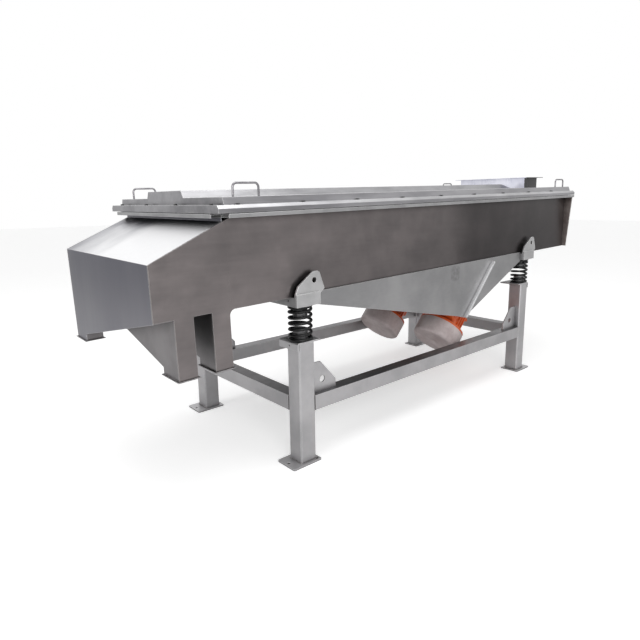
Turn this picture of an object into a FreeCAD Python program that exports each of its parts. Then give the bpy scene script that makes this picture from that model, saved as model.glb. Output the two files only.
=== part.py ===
import FreeCAD, Part
import math
import os
import Sketcher
from types import SimpleNamespace

# A vibrating sieve for dry food products.  A screening box with two decks and a
# bolted cover stands on four coil springs on a welded base frame, and two
# vibration motors on an inclined plate throw it up and towards the discharge end.
# +X points to the feed end, -Y to the front side, +Z up.  The origin is on the
# floor, midway between the four posts.

SIZES = {
    # Base frame
    "post_pitch_long": 2180,
    "post_inset": 29.5,
    "post_width": 100,
    "post_wall": 5,
    "post_corner": 7,
    "discharge_post_top": 646,
    "foot_thick": 10,
    "foot_outward": 115,
    "foot_inward": 70,
    "foot_side": 71,
    "foot_corner": 6,
    "foot_hole_radius": 8,
    "foot_hole_outward": 94,
    "foot_hole_inward": 50,
    "foot_hole_side": 54,
    "rail_bottom": 277,
    "rail_width": 80,
    "rail_wall": 4,
    "tie_lug_thick": 10,
    "tie_lug_length": 174,
    "tie_lug_nose": 44,
    "tie_lug_rise": 161,
    "tie_lug_top": 69,
    "tie_lug_hole_radius": 19,
    "tie_lug_hole_along": 80,
    "tie_lug_hole_rise": 62,
    # Spring seats and springs
    "seat_thick": 8,
    "seat_end_reach": 58,
    "seat_middle_reach": 88,
    "seat_inside_reach": 103,
    "seat_flange_drop": 42,
    "seat_fold_radius": 10,
    "seat_hole_radius": 5,
    "seat_hole_drop": 22,
    "seat_hole_inside": 20,
    "spring_radius": 55.5,
    "spring_wire_radius": 7.5,
    "spring_turns": 6,
    "spring_length": 180,
    "spring_gap": 0.2,
    "guide_radius": 38,
    "guide_rise": 58,
    # Placing of the screening box
    "deck_incline": 1.25,
    "beam_width": 150,
    "beam_depth": 46,
    "beam_wall": 6,
    "beam_overhang": 35.5,
    "beam_hole_radius": 6,
    "beam_hole_from_end": 62,
    "beam_hole_drop": 18,
    "cap_radius": 64,
    "cap_thick": 5,
    "end_plate_thick": 8,
    "end_plate_rise": 17,
    "lifting_lug_thick": 10,
    "lifting_lug_shoulder": 19,
    "lifting_lug_shoulder_rise": 56,
    "lifting_lug_top_start": 37,
    "lifting_lug_top_finish": 68,
    "lifting_lug_nose": 11,
    "lifting_lug_nose_drop": 8,
    "lifting_lug_heel": 34,
    "lifting_lug_heel_rise": 27,
    "lifting_lug_rise": 119,
    "lifting_lug_hole_radius": 14,
    "lifting_lug_hole_rise": 76,
    "lifting_lug_hole_along": 44,
    # Screening box
    "box_half_width": 529.5,
    "box_height": 401,
    "box_feed_end": 1738,
    "side_thick": 6,
    "sheet_thick": 4,
    "pan_thick": 5,
    "hood_front_height": 236,
    "hood_slope_rise": 165,
    "hood_slope_run": 378,
    "neck_inset": 6,
    "cut_over": 1,
    "chute_corner_radius": 28,
    "fines_chute_feed_side": 1507,
    "chute_length": 87.5,
    "chute_gap": 87.5,
    "neck_bottom": 266,
    "neck_width": 142,
    "chute_floor_drop": 234,
    "spout_width": 143,
    "spout_bottom": 248,
    "spout_floor_drop": 213,
    "lip_width": 8,
    "lip_thick": 4,
    "feed_plate_thick": 6,
    "feed_plate_bottom_lap": 29.5,
    "feed_plate_top_lap": 59.5,
    # Top flange, gasket and cover
    "rim_overhang": 70.5,
    "rim_end_overhang": 56.5,
    "rim_feed_overhang": 12,
    "rim_notch": 48,
    "rim_depth": 17,
    "rim_sheet": 5,
    "gasket_thick": 3,
    "gasket_width": 24,
    "gasket_inset": 12,
    "cover_sheet": 4,
    "cover_rim_depth": 19,
    "cover_bevel_rise": 14,
    "cover_bevel_run": 12,
    "cover_shelf": 22,
    "cover_lean": 11,
    "cover_rise": 33,
    "cover_end_inset": 46,
    "ridge_rise": 34,
    "ridge_base": 203,
    "ridge_top": 185,
    "ridge_gap": 30,
    "ridge_slope": 120,
    "inlet_from_end": 58,
    "inlet_length": 210,
    "inlet_half_width": 305,
    "inlet_rise": 84,
    "inlet_flange": 36,
    "handle_length": 140,
    "handle_rise": 62,
    "handle_bend": 20,
    "handle_rod_radius": 4,
    "handle_inset": 60,
    "handle_from_discharge_end": 174.5,
    "handle_from_feed_end": 148,
    "bolts_per_side": 9,
    "bolt_from_discharge_end": 107.5,
    "bolt_from_feed_end": 352,
    "bolt_inset": 23,
    "end_bolt_pitch": 335,
    "bolt_radius": 5,
    "bolt_head_radius": 9,
    "bolt_head_rise": 7,
    "bolt_clearance": 0.5,
    # Decks
    "deck_frame_depth": 25,
    "deck_frame_width": 35,
    "deck_frame_gap": 2,
    "deck_end_gap": 12,
    "deck_feed_gap": 8,
    "upper_deck_height": 270,
    "lower_deck_height": 130,
    "deck_cross_bars": 5,
    "mesh_thick": 1.5,
    "deck_rail_leg": 30,
    "deck_rail_thick": 4,
    "tray_drop": 85,
    "fines_wall_rise": 43,
    # Motor frame
    "motor_frame_thick": 12,
    "motor_frame_lap": 12,
    "motor_frame_low_x": 302,
    "motor_frame_low_drop": 361,
    "motor_frame_toe": 54,
    "throw_angle": 46,
    "mount_plate_thick": 14,
    "mount_plate_overhang": 24,
    "mount_plate_clearance": 0.3,
    "mount_plate_start": 148,
    "mount_plate_finish": 626,
    "cross_tube_width": 100,
    "cross_tube_wall": 6,
    "cross_tube_discharge_place": 560,
    "cross_tube_feed_place": 850,
    "cross_tube_drop": 75,
    # Vibration motors
    "motor_low_x": 314.5,
    "motor_low_drop": 591,
    "motor_offset": 274,
    "motor_foot_height": 174,
    "motor_length": 596,
    "motor_cover_length": 124,
    "motor_cover_radius": 165,
    "motor_cover_wall": 4,
    "motor_cover_edge": 14,
    "motor_cover_bung_radius": 6,
    "motor_body_radius": 127,
    "motor_flange_thick": 16,
    "motor_bore_radius": 105,
    "motor_end_wall": 25,
    "motor_foot_length": 62,
    "motor_foot_place": 46,
    "motor_foot_half_width": 150,
    "motor_rib_count": 3,
    "motor_rib_pitch": 26,
    "motor_rib_rise": 12,
    "motor_rib_thick": 7,
    "motor_box_length": 120,
    "motor_box_width": 90,
    "motor_box_rise": 34,
    "motor_gland_radius": 14,
    "motor_gland_length": 22,
    "foot_bolt_radius": 10,
    "foot_bolt_side": 128,
    "bearing_outer_radius": 45,
    "bearing_width": 25,
    "shaft_radius": 22.5,
    "shaft_clearance": 0.05,
    "shaft_end_gap": 14,
    "stator_inner_radius": 68,
    "stator_length": 190,
    "rotor_core_radius": 67,
    "weight_radius": 140,
    "weight_clamp_rise": 42,
    "weight_thick": 70,
    "weight_start": 28,
}

document = FreeCAD.newDocument("VibratingSieve")
sheet = document.addObject("Spreadsheet::Sheet", "Sizes")
for row_number, (alias, number) in enumerate(SIZES.items(), start=1):
    sheet.set("A%d" % row_number, alias)
    sheet.set("B%d" % row_number, str(number))
    sheet.setAlias("B%d" % row_number, alias)
document.recompute()


class Size:
    """A length or angle that carries its number and its sheet formula together."""

    def __init__(self, number, formula):
        self.number = float(number)
        self.formula = formula

    def __add__(self, other):
        other = as_size(other)
        return Size(self.number + other.number, "(%s + %s)" % (self.formula, other.formula))

    def __sub__(self, other):
        other = as_size(other)
        return Size(self.number - other.number, "(%s - %s)" % (self.formula, other.formula))

    def __mul__(self, other):
        other = as_size(other)
        return Size(self.number * other.number, "(%s * %s)" % (self.formula, other.formula))

    def __truediv__(self, other):
        other = as_size(other)
        return Size(self.number / other.number, "(%s / %s)" % (self.formula, other.formula))

    def __radd__(self, other):
        return as_size(other) + self

    def __rsub__(self, other):
        return as_size(other) - self

    def __rmul__(self, other):
        return as_size(other) * self

    def __neg__(self):
        return as_size(0) - self


def as_size(value):
    """Wrap a plain number, so that it can stand in a formula."""
    if isinstance(value, Size):
        return value
    return Size(value, "(%r)" % float(value))


def cosine(angle):
    return Size(math.cos(math.radians(angle.number)), "cos(%s)" % angle.formula)


def sine(angle):
    return Size(math.sin(math.radians(angle.number)), "sin(%s)" % angle.formula)


S = SimpleNamespace(**{alias: Size(sheet.get(alias), "Sizes.%s" % alias) for alias in SIZES})


# Where the screening box stands on its springs
half_long = S.post_pitch_long / 2
half_across = S.box_half_width - S.post_inset
beam_reach = S.box_half_width + S.beam_overhang
feed_post_top = S.discharge_post_top + S.post_pitch_long * sine(S.deck_incline)
beam_height = S.beam_depth * cosine(S.deck_incline)
spring_room = S.spring_length + S.spring_gap * 2
box_lift = (S.discharge_post_top + S.seat_thick + spring_room + S.cap_thick + beam_height
            + half_long * sine(S.deck_incline))

pieces = []


def bind(thing, path, size):
    """Tie one property to its formula in the sheet."""
    thing.setExpression(path, as_size(size).formula)


def stand_level(thing, x=0, y=0, z=0):
    """Place a piece in the floor's frame."""
    bind(thing, "Placement.Base.x", x)
    bind(thing, "Placement.Base.y", y)
    bind(thing, "Placement.Base.z", z)


def stand_inclined(thing, x=0, y=0, z=0, turn=0):
    """Place a piece in the screening box's own frame, which rises to the feed end."""
    x = as_size(x)
    z = as_size(z)
    turn = as_size(turn)
    thing.Placement.Rotation = FreeCAD.Rotation(FreeCAD.Vector(0, 1, 0), -1)
    bind(thing, "Placement.Rotation.Angle", -(S.deck_incline + turn))
    bind(thing, "Placement.Base.x", x * cosine(S.deck_incline) - z * sine(S.deck_incline))
    bind(thing, "Placement.Base.y", y)
    bind(thing, "Placement.Base.z", box_lift + x * sine(S.deck_incline) + z * cosine(S.deck_incline))


def keep(thing, label):
    """Name a finished piece and list it for the export."""
    thing.Label = label
    pieces.append(thing)
    return thing


def new_body(name):
    return document.addObject("PartDesign::Body", name + "_body")


def sketch_on(body, plane, start):
    """Open a sketch on one of the body's own planes, shifted to its start."""
    sketch = body.newObject("Sketcher::SketchObject", body.Name + "_sketch")
    origin_plane = [item for item in body.Origin.OriginFeatures if item.Role == plane + "_Plane"][0]
    sketch.AttachmentSupport = [(origin_plane, "")]
    sketch.MapMode = "FlatFace"
    start = as_size(start)
    if plane == "XZ":
        start = -start
    bind(sketch, "AttachmentOffset.Base.z", start)
    return sketch


def fix_point(sketch, line, end, x, y):
    """Hold one end of a line at its place by two bound distances."""
    for kind, size in (("DistanceX", as_size(x)), ("DistanceY", as_size(y))):
        index = sketch.addConstraint(Sketcher.Constraint(kind, -1, 1, line, end, size.number))
        sketch.setExpression("Constraints[%d]" % index, size.formula)


def draw_outline(sketch, points):
    """Draw a closed outline of straight lines through the points."""
    first = sketch.GeometryCount
    count = len(points)
    places = [FreeCAD.Vector(as_size(x).number, as_size(y).number, 0) for x, y in points]
    for number in range(count):
        sketch.addGeometry(Part.LineSegment(places[number], places[(number + 1) % count]))
    for number in range(count):
        following = first + (number + 1) % count
        sketch.addConstraint(Sketcher.Constraint("Coincident", first + number, 2, following, 1))
    for number, (x, y) in enumerate(points):
        fix_point(sketch, first + number, 1, x, y)


def draw_circle(sketch, x, y, radius):
    """Draw one circle with a bound centre and radius."""
    radius = as_size(radius)
    centre = FreeCAD.Vector(as_size(x).number, as_size(y).number, 0)
    line = sketch.addGeometry(Part.Circle(centre, FreeCAD.Vector(0, 0, 1), radius.number))
    fix_point(sketch, line, 3, x, y)
    index = sketch.addConstraint(Sketcher.Constraint("Radius", line, radius.number))
    sketch.setExpression("Constraints[%d]" % index, radius.formula)


def rectangle(x_low, y_low, x_high, y_high):
    return [(x_low, y_low), (x_high, y_low), (x_high, y_high), (x_low, y_high)]


def cut_corners(x_low, y_low, x_high, y_high, corner):
    """A rectangle with its four corners taken off."""
    return [
        (x_low + corner, y_low),
        (x_high - corner, y_low),
        (x_high, y_low + corner),
        (x_high, y_high - corner),
        (x_high - corner, y_high),
        (x_low + corner, y_high),
        (x_low, y_high - corner),
        (x_low, y_low + corner),
    ]


def many_sided(x, y, radius, sides, first_turn=0):
    """A regular outline round a centre, its corners at the radius."""
    turns = [as_size(first_turn + 360 * number / sides) for number in range(sides)]
    return [(x + radius * cosine(turn), y + radius * sine(turn)) for turn in turns]


def extrude(body, kind, sketch, plane, length):
    """Pad or pocket a sketch towards the plane's positive side."""
    feature = body.newObject("PartDesign::" + kind, body.Name + "_" + kind.lower())
    feature.Profile = sketch
    bind(feature, "Length", length)
    feature.Reversed = (plane == "XZ") == (kind == "Pad")
    return feature


def add(body, plane, points, start, length):
    """Add a straight plate or bar whose section is the outline."""
    sketch = sketch_on(body, plane, start)
    draw_outline(sketch, points)
    return extrude(body, "Pad", sketch, plane, length)


def cut(body, plane, points, start, length):
    """Take away a straight opening whose section is the outline."""
    sketch = sketch_on(body, plane, start)
    draw_outline(sketch, points)
    return extrude(body, "Pocket", sketch, plane, length)


def drill(body, plane, circles, start, length):
    """Take away round holes, each given as x, y and radius."""
    sketch = sketch_on(body, plane, start)
    for x, y, radius in circles:
        draw_circle(sketch, x, y, radius)
    return extrude(body, "Pocket", sketch, plane, length)


def add_round(body, plane, x, y, radius, start, length):
    """Add a round bar."""
    sketch = sketch_on(body, plane, start)
    draw_circle(sketch, x, y, radius)
    return extrude(body, "Pad", sketch, plane, length)


def turn_profile(body, points):
    """Revolve an outline of place along X and radius about the X axis."""
    sketch = sketch_on(body, "XZ", 0)
    draw_outline(sketch, points)
    feature = body.newObject("PartDesign::Revolution", body.Name + "_turned")
    feature.Profile = sketch
    feature.ReferenceAxis = (sketch, ["H_Axis"])
    feature.Angle = 360
    return feature


def round_edges(body, radius, wanted):
    """Fillet every edge that the test picks out."""
    document.recompute()
    base = body.Tip
    names = ["Edge%d" % (index + 1) for index, edge in enumerate(base.Shape.Edges) if wanted(edge)]
    feature = body.newObject("PartDesign::Fillet", body.Name + "_fillet")
    feature.Base = (base, names)
    bind(feature, "Radius", radius)
    return feature


def lies_at(edge, x=None, y=None, z=None):
    """True for an edge whose every end has the given coordinates."""
    for vertex in edge.Vertexes:
        place = vertex.Point
        for wanted, found in ((x, place.x), (y, place.y), (z, place.z)):
            if wanted is not None and abs(as_size(wanted).number - found) > 0.05:
                return False
    return True


def group(label, members):
    """Gather separate solids of one kind under one name."""
    gathered = document.addObject("Part::Compound", label)
    gathered.Links = members
    return keep(gathered, label)


WIRE_SIDES = 6
COIL_STEPS = 12
GUIDE_SIDES = 12
BARREL_SIDES = 24
ENDS = (("discharge", -1), ("feed", 1))
SIDES = (("front", -1), ("rear", 1))


# ---------------------------------------------------------------- base frame
def post(end_name, end, side_name, side):
    """A square tube leg, closed by the spring seat on top."""
    label = "%s_%s_post" % (end_name, side_name)
    body = new_body(label)
    top = feed_post_top if end > 0 else S.discharge_post_top
    half = S.post_width / 2
    inner = half - S.post_wall
    height = top - S.foot_thick
    add(body, "XY", cut_corners(-half, -half, half, half, S.post_corner), S.foot_thick, height)
    cut(body, "XY", rectangle(-inner, -inner, inner, inner), S.foot_thick, height)
    stand_level(body, half_long * end, half_across * side)
    keep(body, label)


def foot_plate(end_name, end, side_name, side):
    """A floor plate, set out past its post, with two anchor holes."""
    label = "%s_%s_foot_plate" % (end_name, side_name)
    body = new_body(label)
    left, right = (-S.foot_inward, S.foot_outward) if end > 0 else (-S.foot_outward, S.foot_inward)
    add(body, "XY", cut_corners(left, -S.foot_side, right, S.foot_side, S.foot_corner), 0, S.foot_thick)
    holes = [
        (S.foot_hole_outward * end, 0, S.foot_hole_radius),
        (-S.foot_hole_inward * end, S.foot_hole_side * side, S.foot_hole_radius),
    ]
    drill(body, "XY", holes, 0, S.foot_thick)
    stand_level(body, half_long * end, half_across * side)
    keep(body, label)


def side_rail(side_name, side):
    """The long square tube between two posts, flush with their outer faces."""
    label = "%s_side_rail" % side_name
    body = new_body(label)
    half = S.rail_width / 2
    inner = half - S.rail_wall
    start = S.post_width / 2 - half_long
    length = S.post_pitch_long - S.post_width
    add(body, "YZ", rectangle(-half, -half, half, half), start, length)
    cut(body, "YZ", rectangle(-inner, -inner, inner, inner), start, length)
    centre = half_across + S.post_width / 2 - half
    stand_level(body, 0, centre * side, S.rail_bottom + half)
    keep(body, label)


def end_beam(end_name, end):
    """The short square tube between two posts, flush with their outer faces."""
    label = "%s_end_beam" % end_name
    body = new_body(label)
    half = S.rail_width / 2
    inner = half - S.rail_wall
    start = S.post_width / 2 - half_across
    length = (half_across * 2) - S.post_width
    add(body, "XZ", rectangle(-half, -half, half, half), start, length)
    cut(body, "XZ", rectangle(-inner, -inner, inner, inner), start, length)
    centre = half_long + S.post_width / 2 - half
    stand_level(body, centre * end, 0, S.rail_bottom + half)
    keep(body, label)


def tie_lug(end, side):
    """A gusset plate on the rail beside a post, with a hole for a transport tie."""
    body = new_body("tie_lug")
    post_face = half_long - S.post_width / 2
    rail_top = S.rail_bottom + S.rail_width
    tip = post_face - S.tie_lug_length
    outline = [
        (post_face * end, rail_top),
        (tip * end, rail_top),
        (tip * end, rail_top + S.tie_lug_nose),
        ((post_face - S.tie_lug_top) * end, rail_top + S.tie_lug_rise),
        (post_face * end, rail_top + S.tie_lug_rise),
    ]
    middle = half_across + S.post_width / 2 - S.rail_width / 2
    start = middle * side - S.tie_lug_thick / 2
    add(body, "XZ", outline, start, S.tie_lug_thick)
    hole = ((post_face - S.tie_lug_hole_along) * end, rail_top + S.tie_lug_hole_rise, S.tie_lug_hole_radius)
    drill(body, "XZ", [hole], start, S.tie_lug_thick)
    return body


def spring_seat(end_name, end, side_name, side):
    """A plate folded down over the post's end face, with the guide inside the spring."""
    label = "%s_%s_spring_seat" % (end_name, side_name)
    body = new_body(label)
    outer = S.seat_end_reach * end
    inner = -S.seat_middle_reach * end
    outer_side = S.post_width / 2 * side
    inner_side = -S.seat_inside_reach * side
    low = min(outer_side.number, inner_side.number)
    start = outer_side if low == outer_side.number else inner_side
    width = S.post_width / 2 + S.seat_inside_reach
    add(body, "XZ", rectangle(inner, 0, outer, S.seat_thick), start, width)
    flange_face = (S.seat_end_reach - S.seat_thick) * end
    flange = rectangle(flange_face, S.seat_thick - S.seat_flange_drop, outer, S.seat_thick)
    add(body, "XZ", flange, start, width)
    round_edges(body, S.seat_fold_radius, lambda edge: lies_at(edge, x=outer, z=S.seat_thick))
    add(body, "XY", many_sided(0, 0, S.guide_radius, GUIDE_SIDES), S.seat_thick, S.guide_rise)
    hole_side = -(S.seat_hole_inside) * side
    hole = (hole_side, S.seat_thick - S.seat_hole_drop, S.seat_hole_radius)
    flange_low = flange_face if end > 0 else outer
    drill(body, "YZ", [hole], flange_low, S.seat_thick)
    top = feed_post_top if end > 0 else S.discharge_post_top
    stand_level(body, half_long * end, half_across * side, top)
    keep(body, label)


def many_sided_ring(centre, first, second, radius):
    """The section of a round wire or rod, drawn with few sides to keep its facets down."""
    grown = radius / math.sqrt(math.cos(math.pi / WIRE_SIDES))
    corners = []
    for number in range(WIRE_SIDES + 1):
        turn = 2 * math.pi * (number + 0.5) / WIRE_SIDES
        corners.append(centre + first * (grown * math.cos(turn)) + second * (grown * math.sin(turn)))
    return Part.makePolygon(corners)


def spring(end_name, end, side_name, side):
    """A coil spring of round wire with flat ground ends, bent in short straight steps."""
    label = "%s_%s_spring" % (end_name, side_name)
    length = S.spring_length.number
    wire = S.spring_wire_radius.number
    radius = S.spring_radius.number
    steps = int(round(S.spring_turns.number * COIL_STEPS))
    rise = (length + wire) / steps
    path = []
    for number in range(steps + 1):
        turn = 2 * math.pi * number / COIL_STEPS
        path.append(FreeCAD.Vector(radius * math.cos(turn), radius * math.sin(turn), rise * number - wire / 2))
    first = path[1] - path[0]
    first.normalize()
    outward = FreeCAD.Vector(0, 0, 1).cross(first)
    outward.normalize()
    section = many_sided_ring(path[0], outward, first.cross(outward), wire)
    coil = Part.makePolygon(path).makePipeShell([section], True, False, 1)
    slab = Part.makeCylinder(radius + wire * 2, length)
    thing = document.addObject("Part::Feature", label)
    thing.Shape = coil.common(slab)
    top = feed_post_top if end > 0 else S.discharge_post_top
    stand_level(thing, half_long * end, half_across * side, top + S.seat_thick + S.spring_gap)
    keep(thing, label)


# ---------------------------------------------------------------- carrying beams
def cross_beam(end_name, end):
    """A folded box beam under the screening box, with level caps for its two springs."""
    label = "%s_cross_beam" % end_name
    body = new_body(label)
    half = S.beam_width / 2
    wall = S.beam_wall
    centre = half_long * end
    outline = rectangle(centre - half, -S.beam_depth, centre + half, 0)
    hollow = rectangle(centre - half + wall, wall - S.beam_depth, centre + half - wall, -wall)
    add(body, "XZ", outline, -beam_reach, beam_reach * 2)
    cut(body, "XZ", hollow, -beam_reach, beam_reach * 2)
    hole_side = beam_reach - S.beam_hole_from_end
    holes = [(hole_side * side, -S.beam_hole_drop, S.beam_hole_radius) for name, side in SIDES]
    drill(body, "YZ", holes, centre - half if end < 0 else centre + half - wall, wall)
    stand_inclined(body)

    envelope = document.addObject("Part::Box", label + "_envelope")
    bind(envelope, "Length", S.beam_width * 2)
    bind(envelope, "Width", beam_reach * 2)
    bind(envelope, "Height", S.beam_depth)
    stand_inclined(envelope, centre - S.beam_width, -beam_reach, -S.beam_depth)

    underside = (feed_post_top if end > 0 else S.discharge_post_top) + S.seat_thick + spring_room
    parts = [body]
    for side_name, side in SIDES:
        blank = new_body("spring_cap")
        add(blank, "XY", many_sided(0, 0, S.cap_radius, GUIDE_SIDES * 2), 0, S.cap_thick * 3)
        stand_level(blank, half_long * end, half_across * side, underside)
        cap = document.addObject("Part::Cut", "trimmed_cap")
        cap.Base = blank
        cap.Tool = envelope
        guide = new_body("upper_guide")
        add(guide, "XY", many_sided(0, 0, S.guide_radius, GUIDE_SIDES), -S.guide_rise, S.guide_rise)
        stand_level(guide, half_long * end, half_across * side, underside)
        parts.extend([cap, guide])
    whole = document.addObject("Part::MultiFuse", label + "_welded")
    whole.Shapes = parts
    whole.Refine = True
    keep(whole, label)


def corner_bracket(end_name, end, side_name, side):
    """The beam's end plate and the lifting lug welded up behind it."""
    label = "%s_%s_corner_bracket" % (end_name, side_name)
    body = new_body(label)
    centre = half_long * end
    half = S.beam_width / 2
    plate_start = beam_reach if side > 0 else -beam_reach - S.end_plate_thick
    plate = rectangle(centre - half, -S.beam_depth, centre + half, S.end_plate_rise)
    add(body, "XZ", plate, plate_start, S.end_plate_thick)
    lug_start = beam_reach - S.lifting_lug_thick if side > 0 else -beam_reach
    rise = S.lifting_lug_rise
    nose = centre + S.lifting_lug_top_finish + S.lifting_lug_nose
    lug = [
        (centre - half, 0),
        (centre - half, S.end_plate_rise),
        (centre - half + S.lifting_lug_shoulder, S.lifting_lug_shoulder_rise),
        (centre + S.lifting_lug_top_start, rise),
        (centre + S.lifting_lug_top_finish, rise),
        (nose, rise - S.lifting_lug_nose_drop),
        (centre + half + S.lifting_lug_heel, S.lifting_lug_heel_rise),
        (centre + half, 0),
    ]
    add(body, "XZ", lug, lug_start, S.lifting_lug_thick)
    hole = (centre + S.lifting_lug_hole_along, S.lifting_lug_hole_rise, S.lifting_lug_hole_radius)
    drill(body, "XZ", [hole], lug_start, S.lifting_lug_thick)
    stand_inclined(body)
    keep(body, label)


# ---------------------------------------------------------------- screening box
inside = S.box_half_width - S.side_thick
neck_end = S.fines_chute_feed_side + S.neck_inset
hood_end = S.fines_chute_feed_side + S.chute_length * 3 + S.chute_gap
rim_half_width = S.box_half_width + S.rim_overhang
rim_discharge_end = neck_end + S.rim_end_overhang
rim_feed_end = S.box_feed_end + S.rim_feed_overhang
deck_discharge_end = S.fines_chute_feed_side - S.deck_end_gap
deck_feed_end = S.box_feed_end - S.deck_feed_gap
hood_slope = S.hood_slope_rise / S.hood_slope_run
neck_height = S.hood_front_height + hood_slope * (hood_end - neck_end)
fines_feed = -S.fines_chute_feed_side
fines_end = fines_feed - S.chute_length
middle_feed = fines_end - S.chute_gap
middle_end = middle_feed - S.chute_length


def side_plate(side_name, side):
    """One long sheet: the box side, the hood cheek and the cheeks of its own chutes."""
    label = "%s_side_plate" % side_name
    body = new_body(label)
    start = inside if side > 0 else -S.box_half_width
    hood_top = S.hood_slope_run - hood_end
    outline = [
        (-hood_end, S.hood_front_height),
        (hood_top, S.box_height),
        (S.box_feed_end, S.box_height),
        (S.box_feed_end, 0),
    ]
    if side < 0:
        outline += [
            (fines_feed, 0),
            (fines_feed, -S.neck_bottom),
            (fines_end, -S.neck_bottom),
            (fines_end, 0),
            (middle_feed, 0),
            (middle_feed, -S.neck_bottom),
            (middle_end, -S.neck_bottom),
            (middle_end, 0),
            (-hood_end, 0),
        ]
    else:
        outline += [(middle_end, 0), (middle_end, -S.spout_bottom), (-hood_end, -S.spout_bottom)]
    add(body, "XZ", outline, start, S.side_thick)
    if side < 0:
        round_edges(body, S.chute_corner_radius, lambda edge: lies_at(edge, x=fines_feed, z=0))
    stand_inclined(body)
    keep(body, label)


def bottom_pan():
    """The floor of the box, which carries the fines to their chute."""
    body = new_body("bottom_pan")
    length = S.box_feed_end + S.fines_chute_feed_side
    add(body, "YZ", rectangle(-inside, 0, inside, S.pan_thick), fines_feed, length)
    stand_inclined(body)
    keep(body, "bottom_pan")


def feed_end_plate():
    """The wall at the feed end, wider at the top, welded across the two side plates."""
    body = new_body("feed_end_plate")
    outline = [
        (-S.feed_plate_bottom_lap - S.box_half_width, 0),
        (S.feed_plate_bottom_lap + S.box_half_width, 0),
        (S.feed_plate_top_lap + S.box_half_width, S.box_height),
        (-S.feed_plate_top_lap - S.box_half_width, S.box_height),
    ]
    add(body, "YZ", outline, S.box_feed_end, S.feed_plate_thick)
    stand_inclined(body)
    keep(body, "feed_end_plate")


def discharge_hood():
    """The front sheet down to the oversize spout, folded back up the slope to the neck."""
    body = new_body("discharge_hood")
    wall = S.sheet_thick
    spout_edge = inside - S.spout_width
    front = [
        (-inside, S.hood_front_height),
        (-inside, -S.lip_thick),
        (spout_edge, -S.spout_floor_drop),
        (spout_edge, -S.spout_bottom),
        (inside, -S.spout_bottom),
        (inside, S.hood_front_height),
    ]
    add(body, "YZ", front, -hood_end, wall)
    slope = [
        (-hood_end, S.hood_front_height),
        (-hood_end, S.hood_front_height - wall),
        (wall - hood_end, S.hood_front_height - wall),
        (-neck_end, neck_height - wall),
        (-neck_end, S.box_height),
        (-neck_end - wall, S.box_height),
        (-neck_end - wall, neck_height),
    ]
    add(body, "XZ", slope, -inside, inside * 2)
    stand_inclined(body)
    keep(body, "discharge_hood")


def oversize_chute():
    """The first chute: a floor falling to the rear spout, and its back wall."""
    body = new_body("oversize_chute")
    wall = S.sheet_thick
    spout_edge = inside - S.spout_width
    start = wall - hood_end
    length = middle_end - start
    outline = [
        (-inside, 0),
        (-inside, -S.lip_thick),
        (spout_edge, -S.spout_floor_drop),
        (spout_edge, -S.spout_bottom),
        (inside, -S.spout_bottom),
        (inside, 0),
    ]
    add(body, "YZ", outline, start, length)
    hollow = [
        (-inside, S.cut_over),
        (-inside, wall - S.lip_thick),
        (spout_edge + wall, wall - S.spout_floor_drop),
        (spout_edge + wall, -S.spout_bottom - S.cut_over),
        (inside, -S.spout_bottom - S.cut_over),
        (inside, S.cut_over),
    ]
    cut(body, "YZ", hollow, start, length - wall)
    tray_end = S.upper_deck_height - S.tray_drop
    add(body, "YZ", rectangle(-inside, 0, inside, tray_end), middle_end - wall, wall)
    lip_start = -hood_end - S.lip_width
    lip_length = middle_end + hood_end + S.lip_width * 2
    lip = [
        (spout_edge - S.lip_width, -S.spout_bottom - S.lip_thick),
        (S.box_half_width + S.lip_width, -S.spout_bottom - S.lip_thick),
        (S.box_half_width + S.lip_width, -S.spout_bottom),
        (spout_edge - S.lip_width, -S.spout_bottom),
    ]
    add(body, "YZ", lip, lip_start, lip_length)
    mouth = rectangle(start, spout_edge + wall, middle_end - wall, inside)
    cut(body, "XY", mouth, -S.spout_bottom - S.lip_thick, S.lip_thick)
    stand_inclined(body)
    keep(body, "oversize_chute")


def side_chute(label, end_place, end_wall_top, feed_wall_top):
    """A narrow chute whose floor falls across the box to a neck at the front."""
    body = new_body(label)
    wall = S.sheet_thick
    neck_edge = S.neck_width - inside
    outline = [
        (-inside, 0),
        (-inside, -S.neck_bottom),
        (neck_edge, -S.neck_bottom),
        (neck_edge, -S.chute_floor_drop),
        (inside, -S.lip_thick),
        (inside, 0),
    ]
    add(body, "YZ", outline, end_place, S.chute_length)
    hollow = [
        (-inside, S.cut_over),
        (-inside, -S.neck_bottom - S.cut_over),
        (neck_edge - wall, -S.neck_bottom - S.cut_over),
        (neck_edge - wall, wall - S.chute_floor_drop),
        (inside, 0),
        (inside, S.cut_over),
    ]
    cut(body, "YZ", hollow, end_place + wall, S.chute_length - wall * 2)
    add(body, "YZ", rectangle(-inside, 0, inside, end_wall_top), end_place, wall)
    feed_wall = end_place + S.chute_length - wall
    add(body, "YZ", rectangle(-inside, 0, inside, feed_wall_top), feed_wall, wall)
    lip = [
        (-S.box_half_width - S.lip_width, -S.neck_bottom - S.lip_thick),
        (neck_edge + S.lip_width, -S.neck_bottom - S.lip_thick),
        (neck_edge + S.lip_width, -S.neck_bottom),
        (-S.box_half_width - S.lip_width, -S.neck_bottom),
    ]
    add(body, "YZ", lip, end_place - S.lip_width, S.chute_length + S.lip_width * 2)
    mouth = rectangle(end_place + wall, -inside, feed_wall, neck_edge - wall)
    cut(body, "XY", mouth, -S.neck_bottom - S.lip_thick, S.lip_thick)
    stand_inclined(body)
    keep(body, label)


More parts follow.
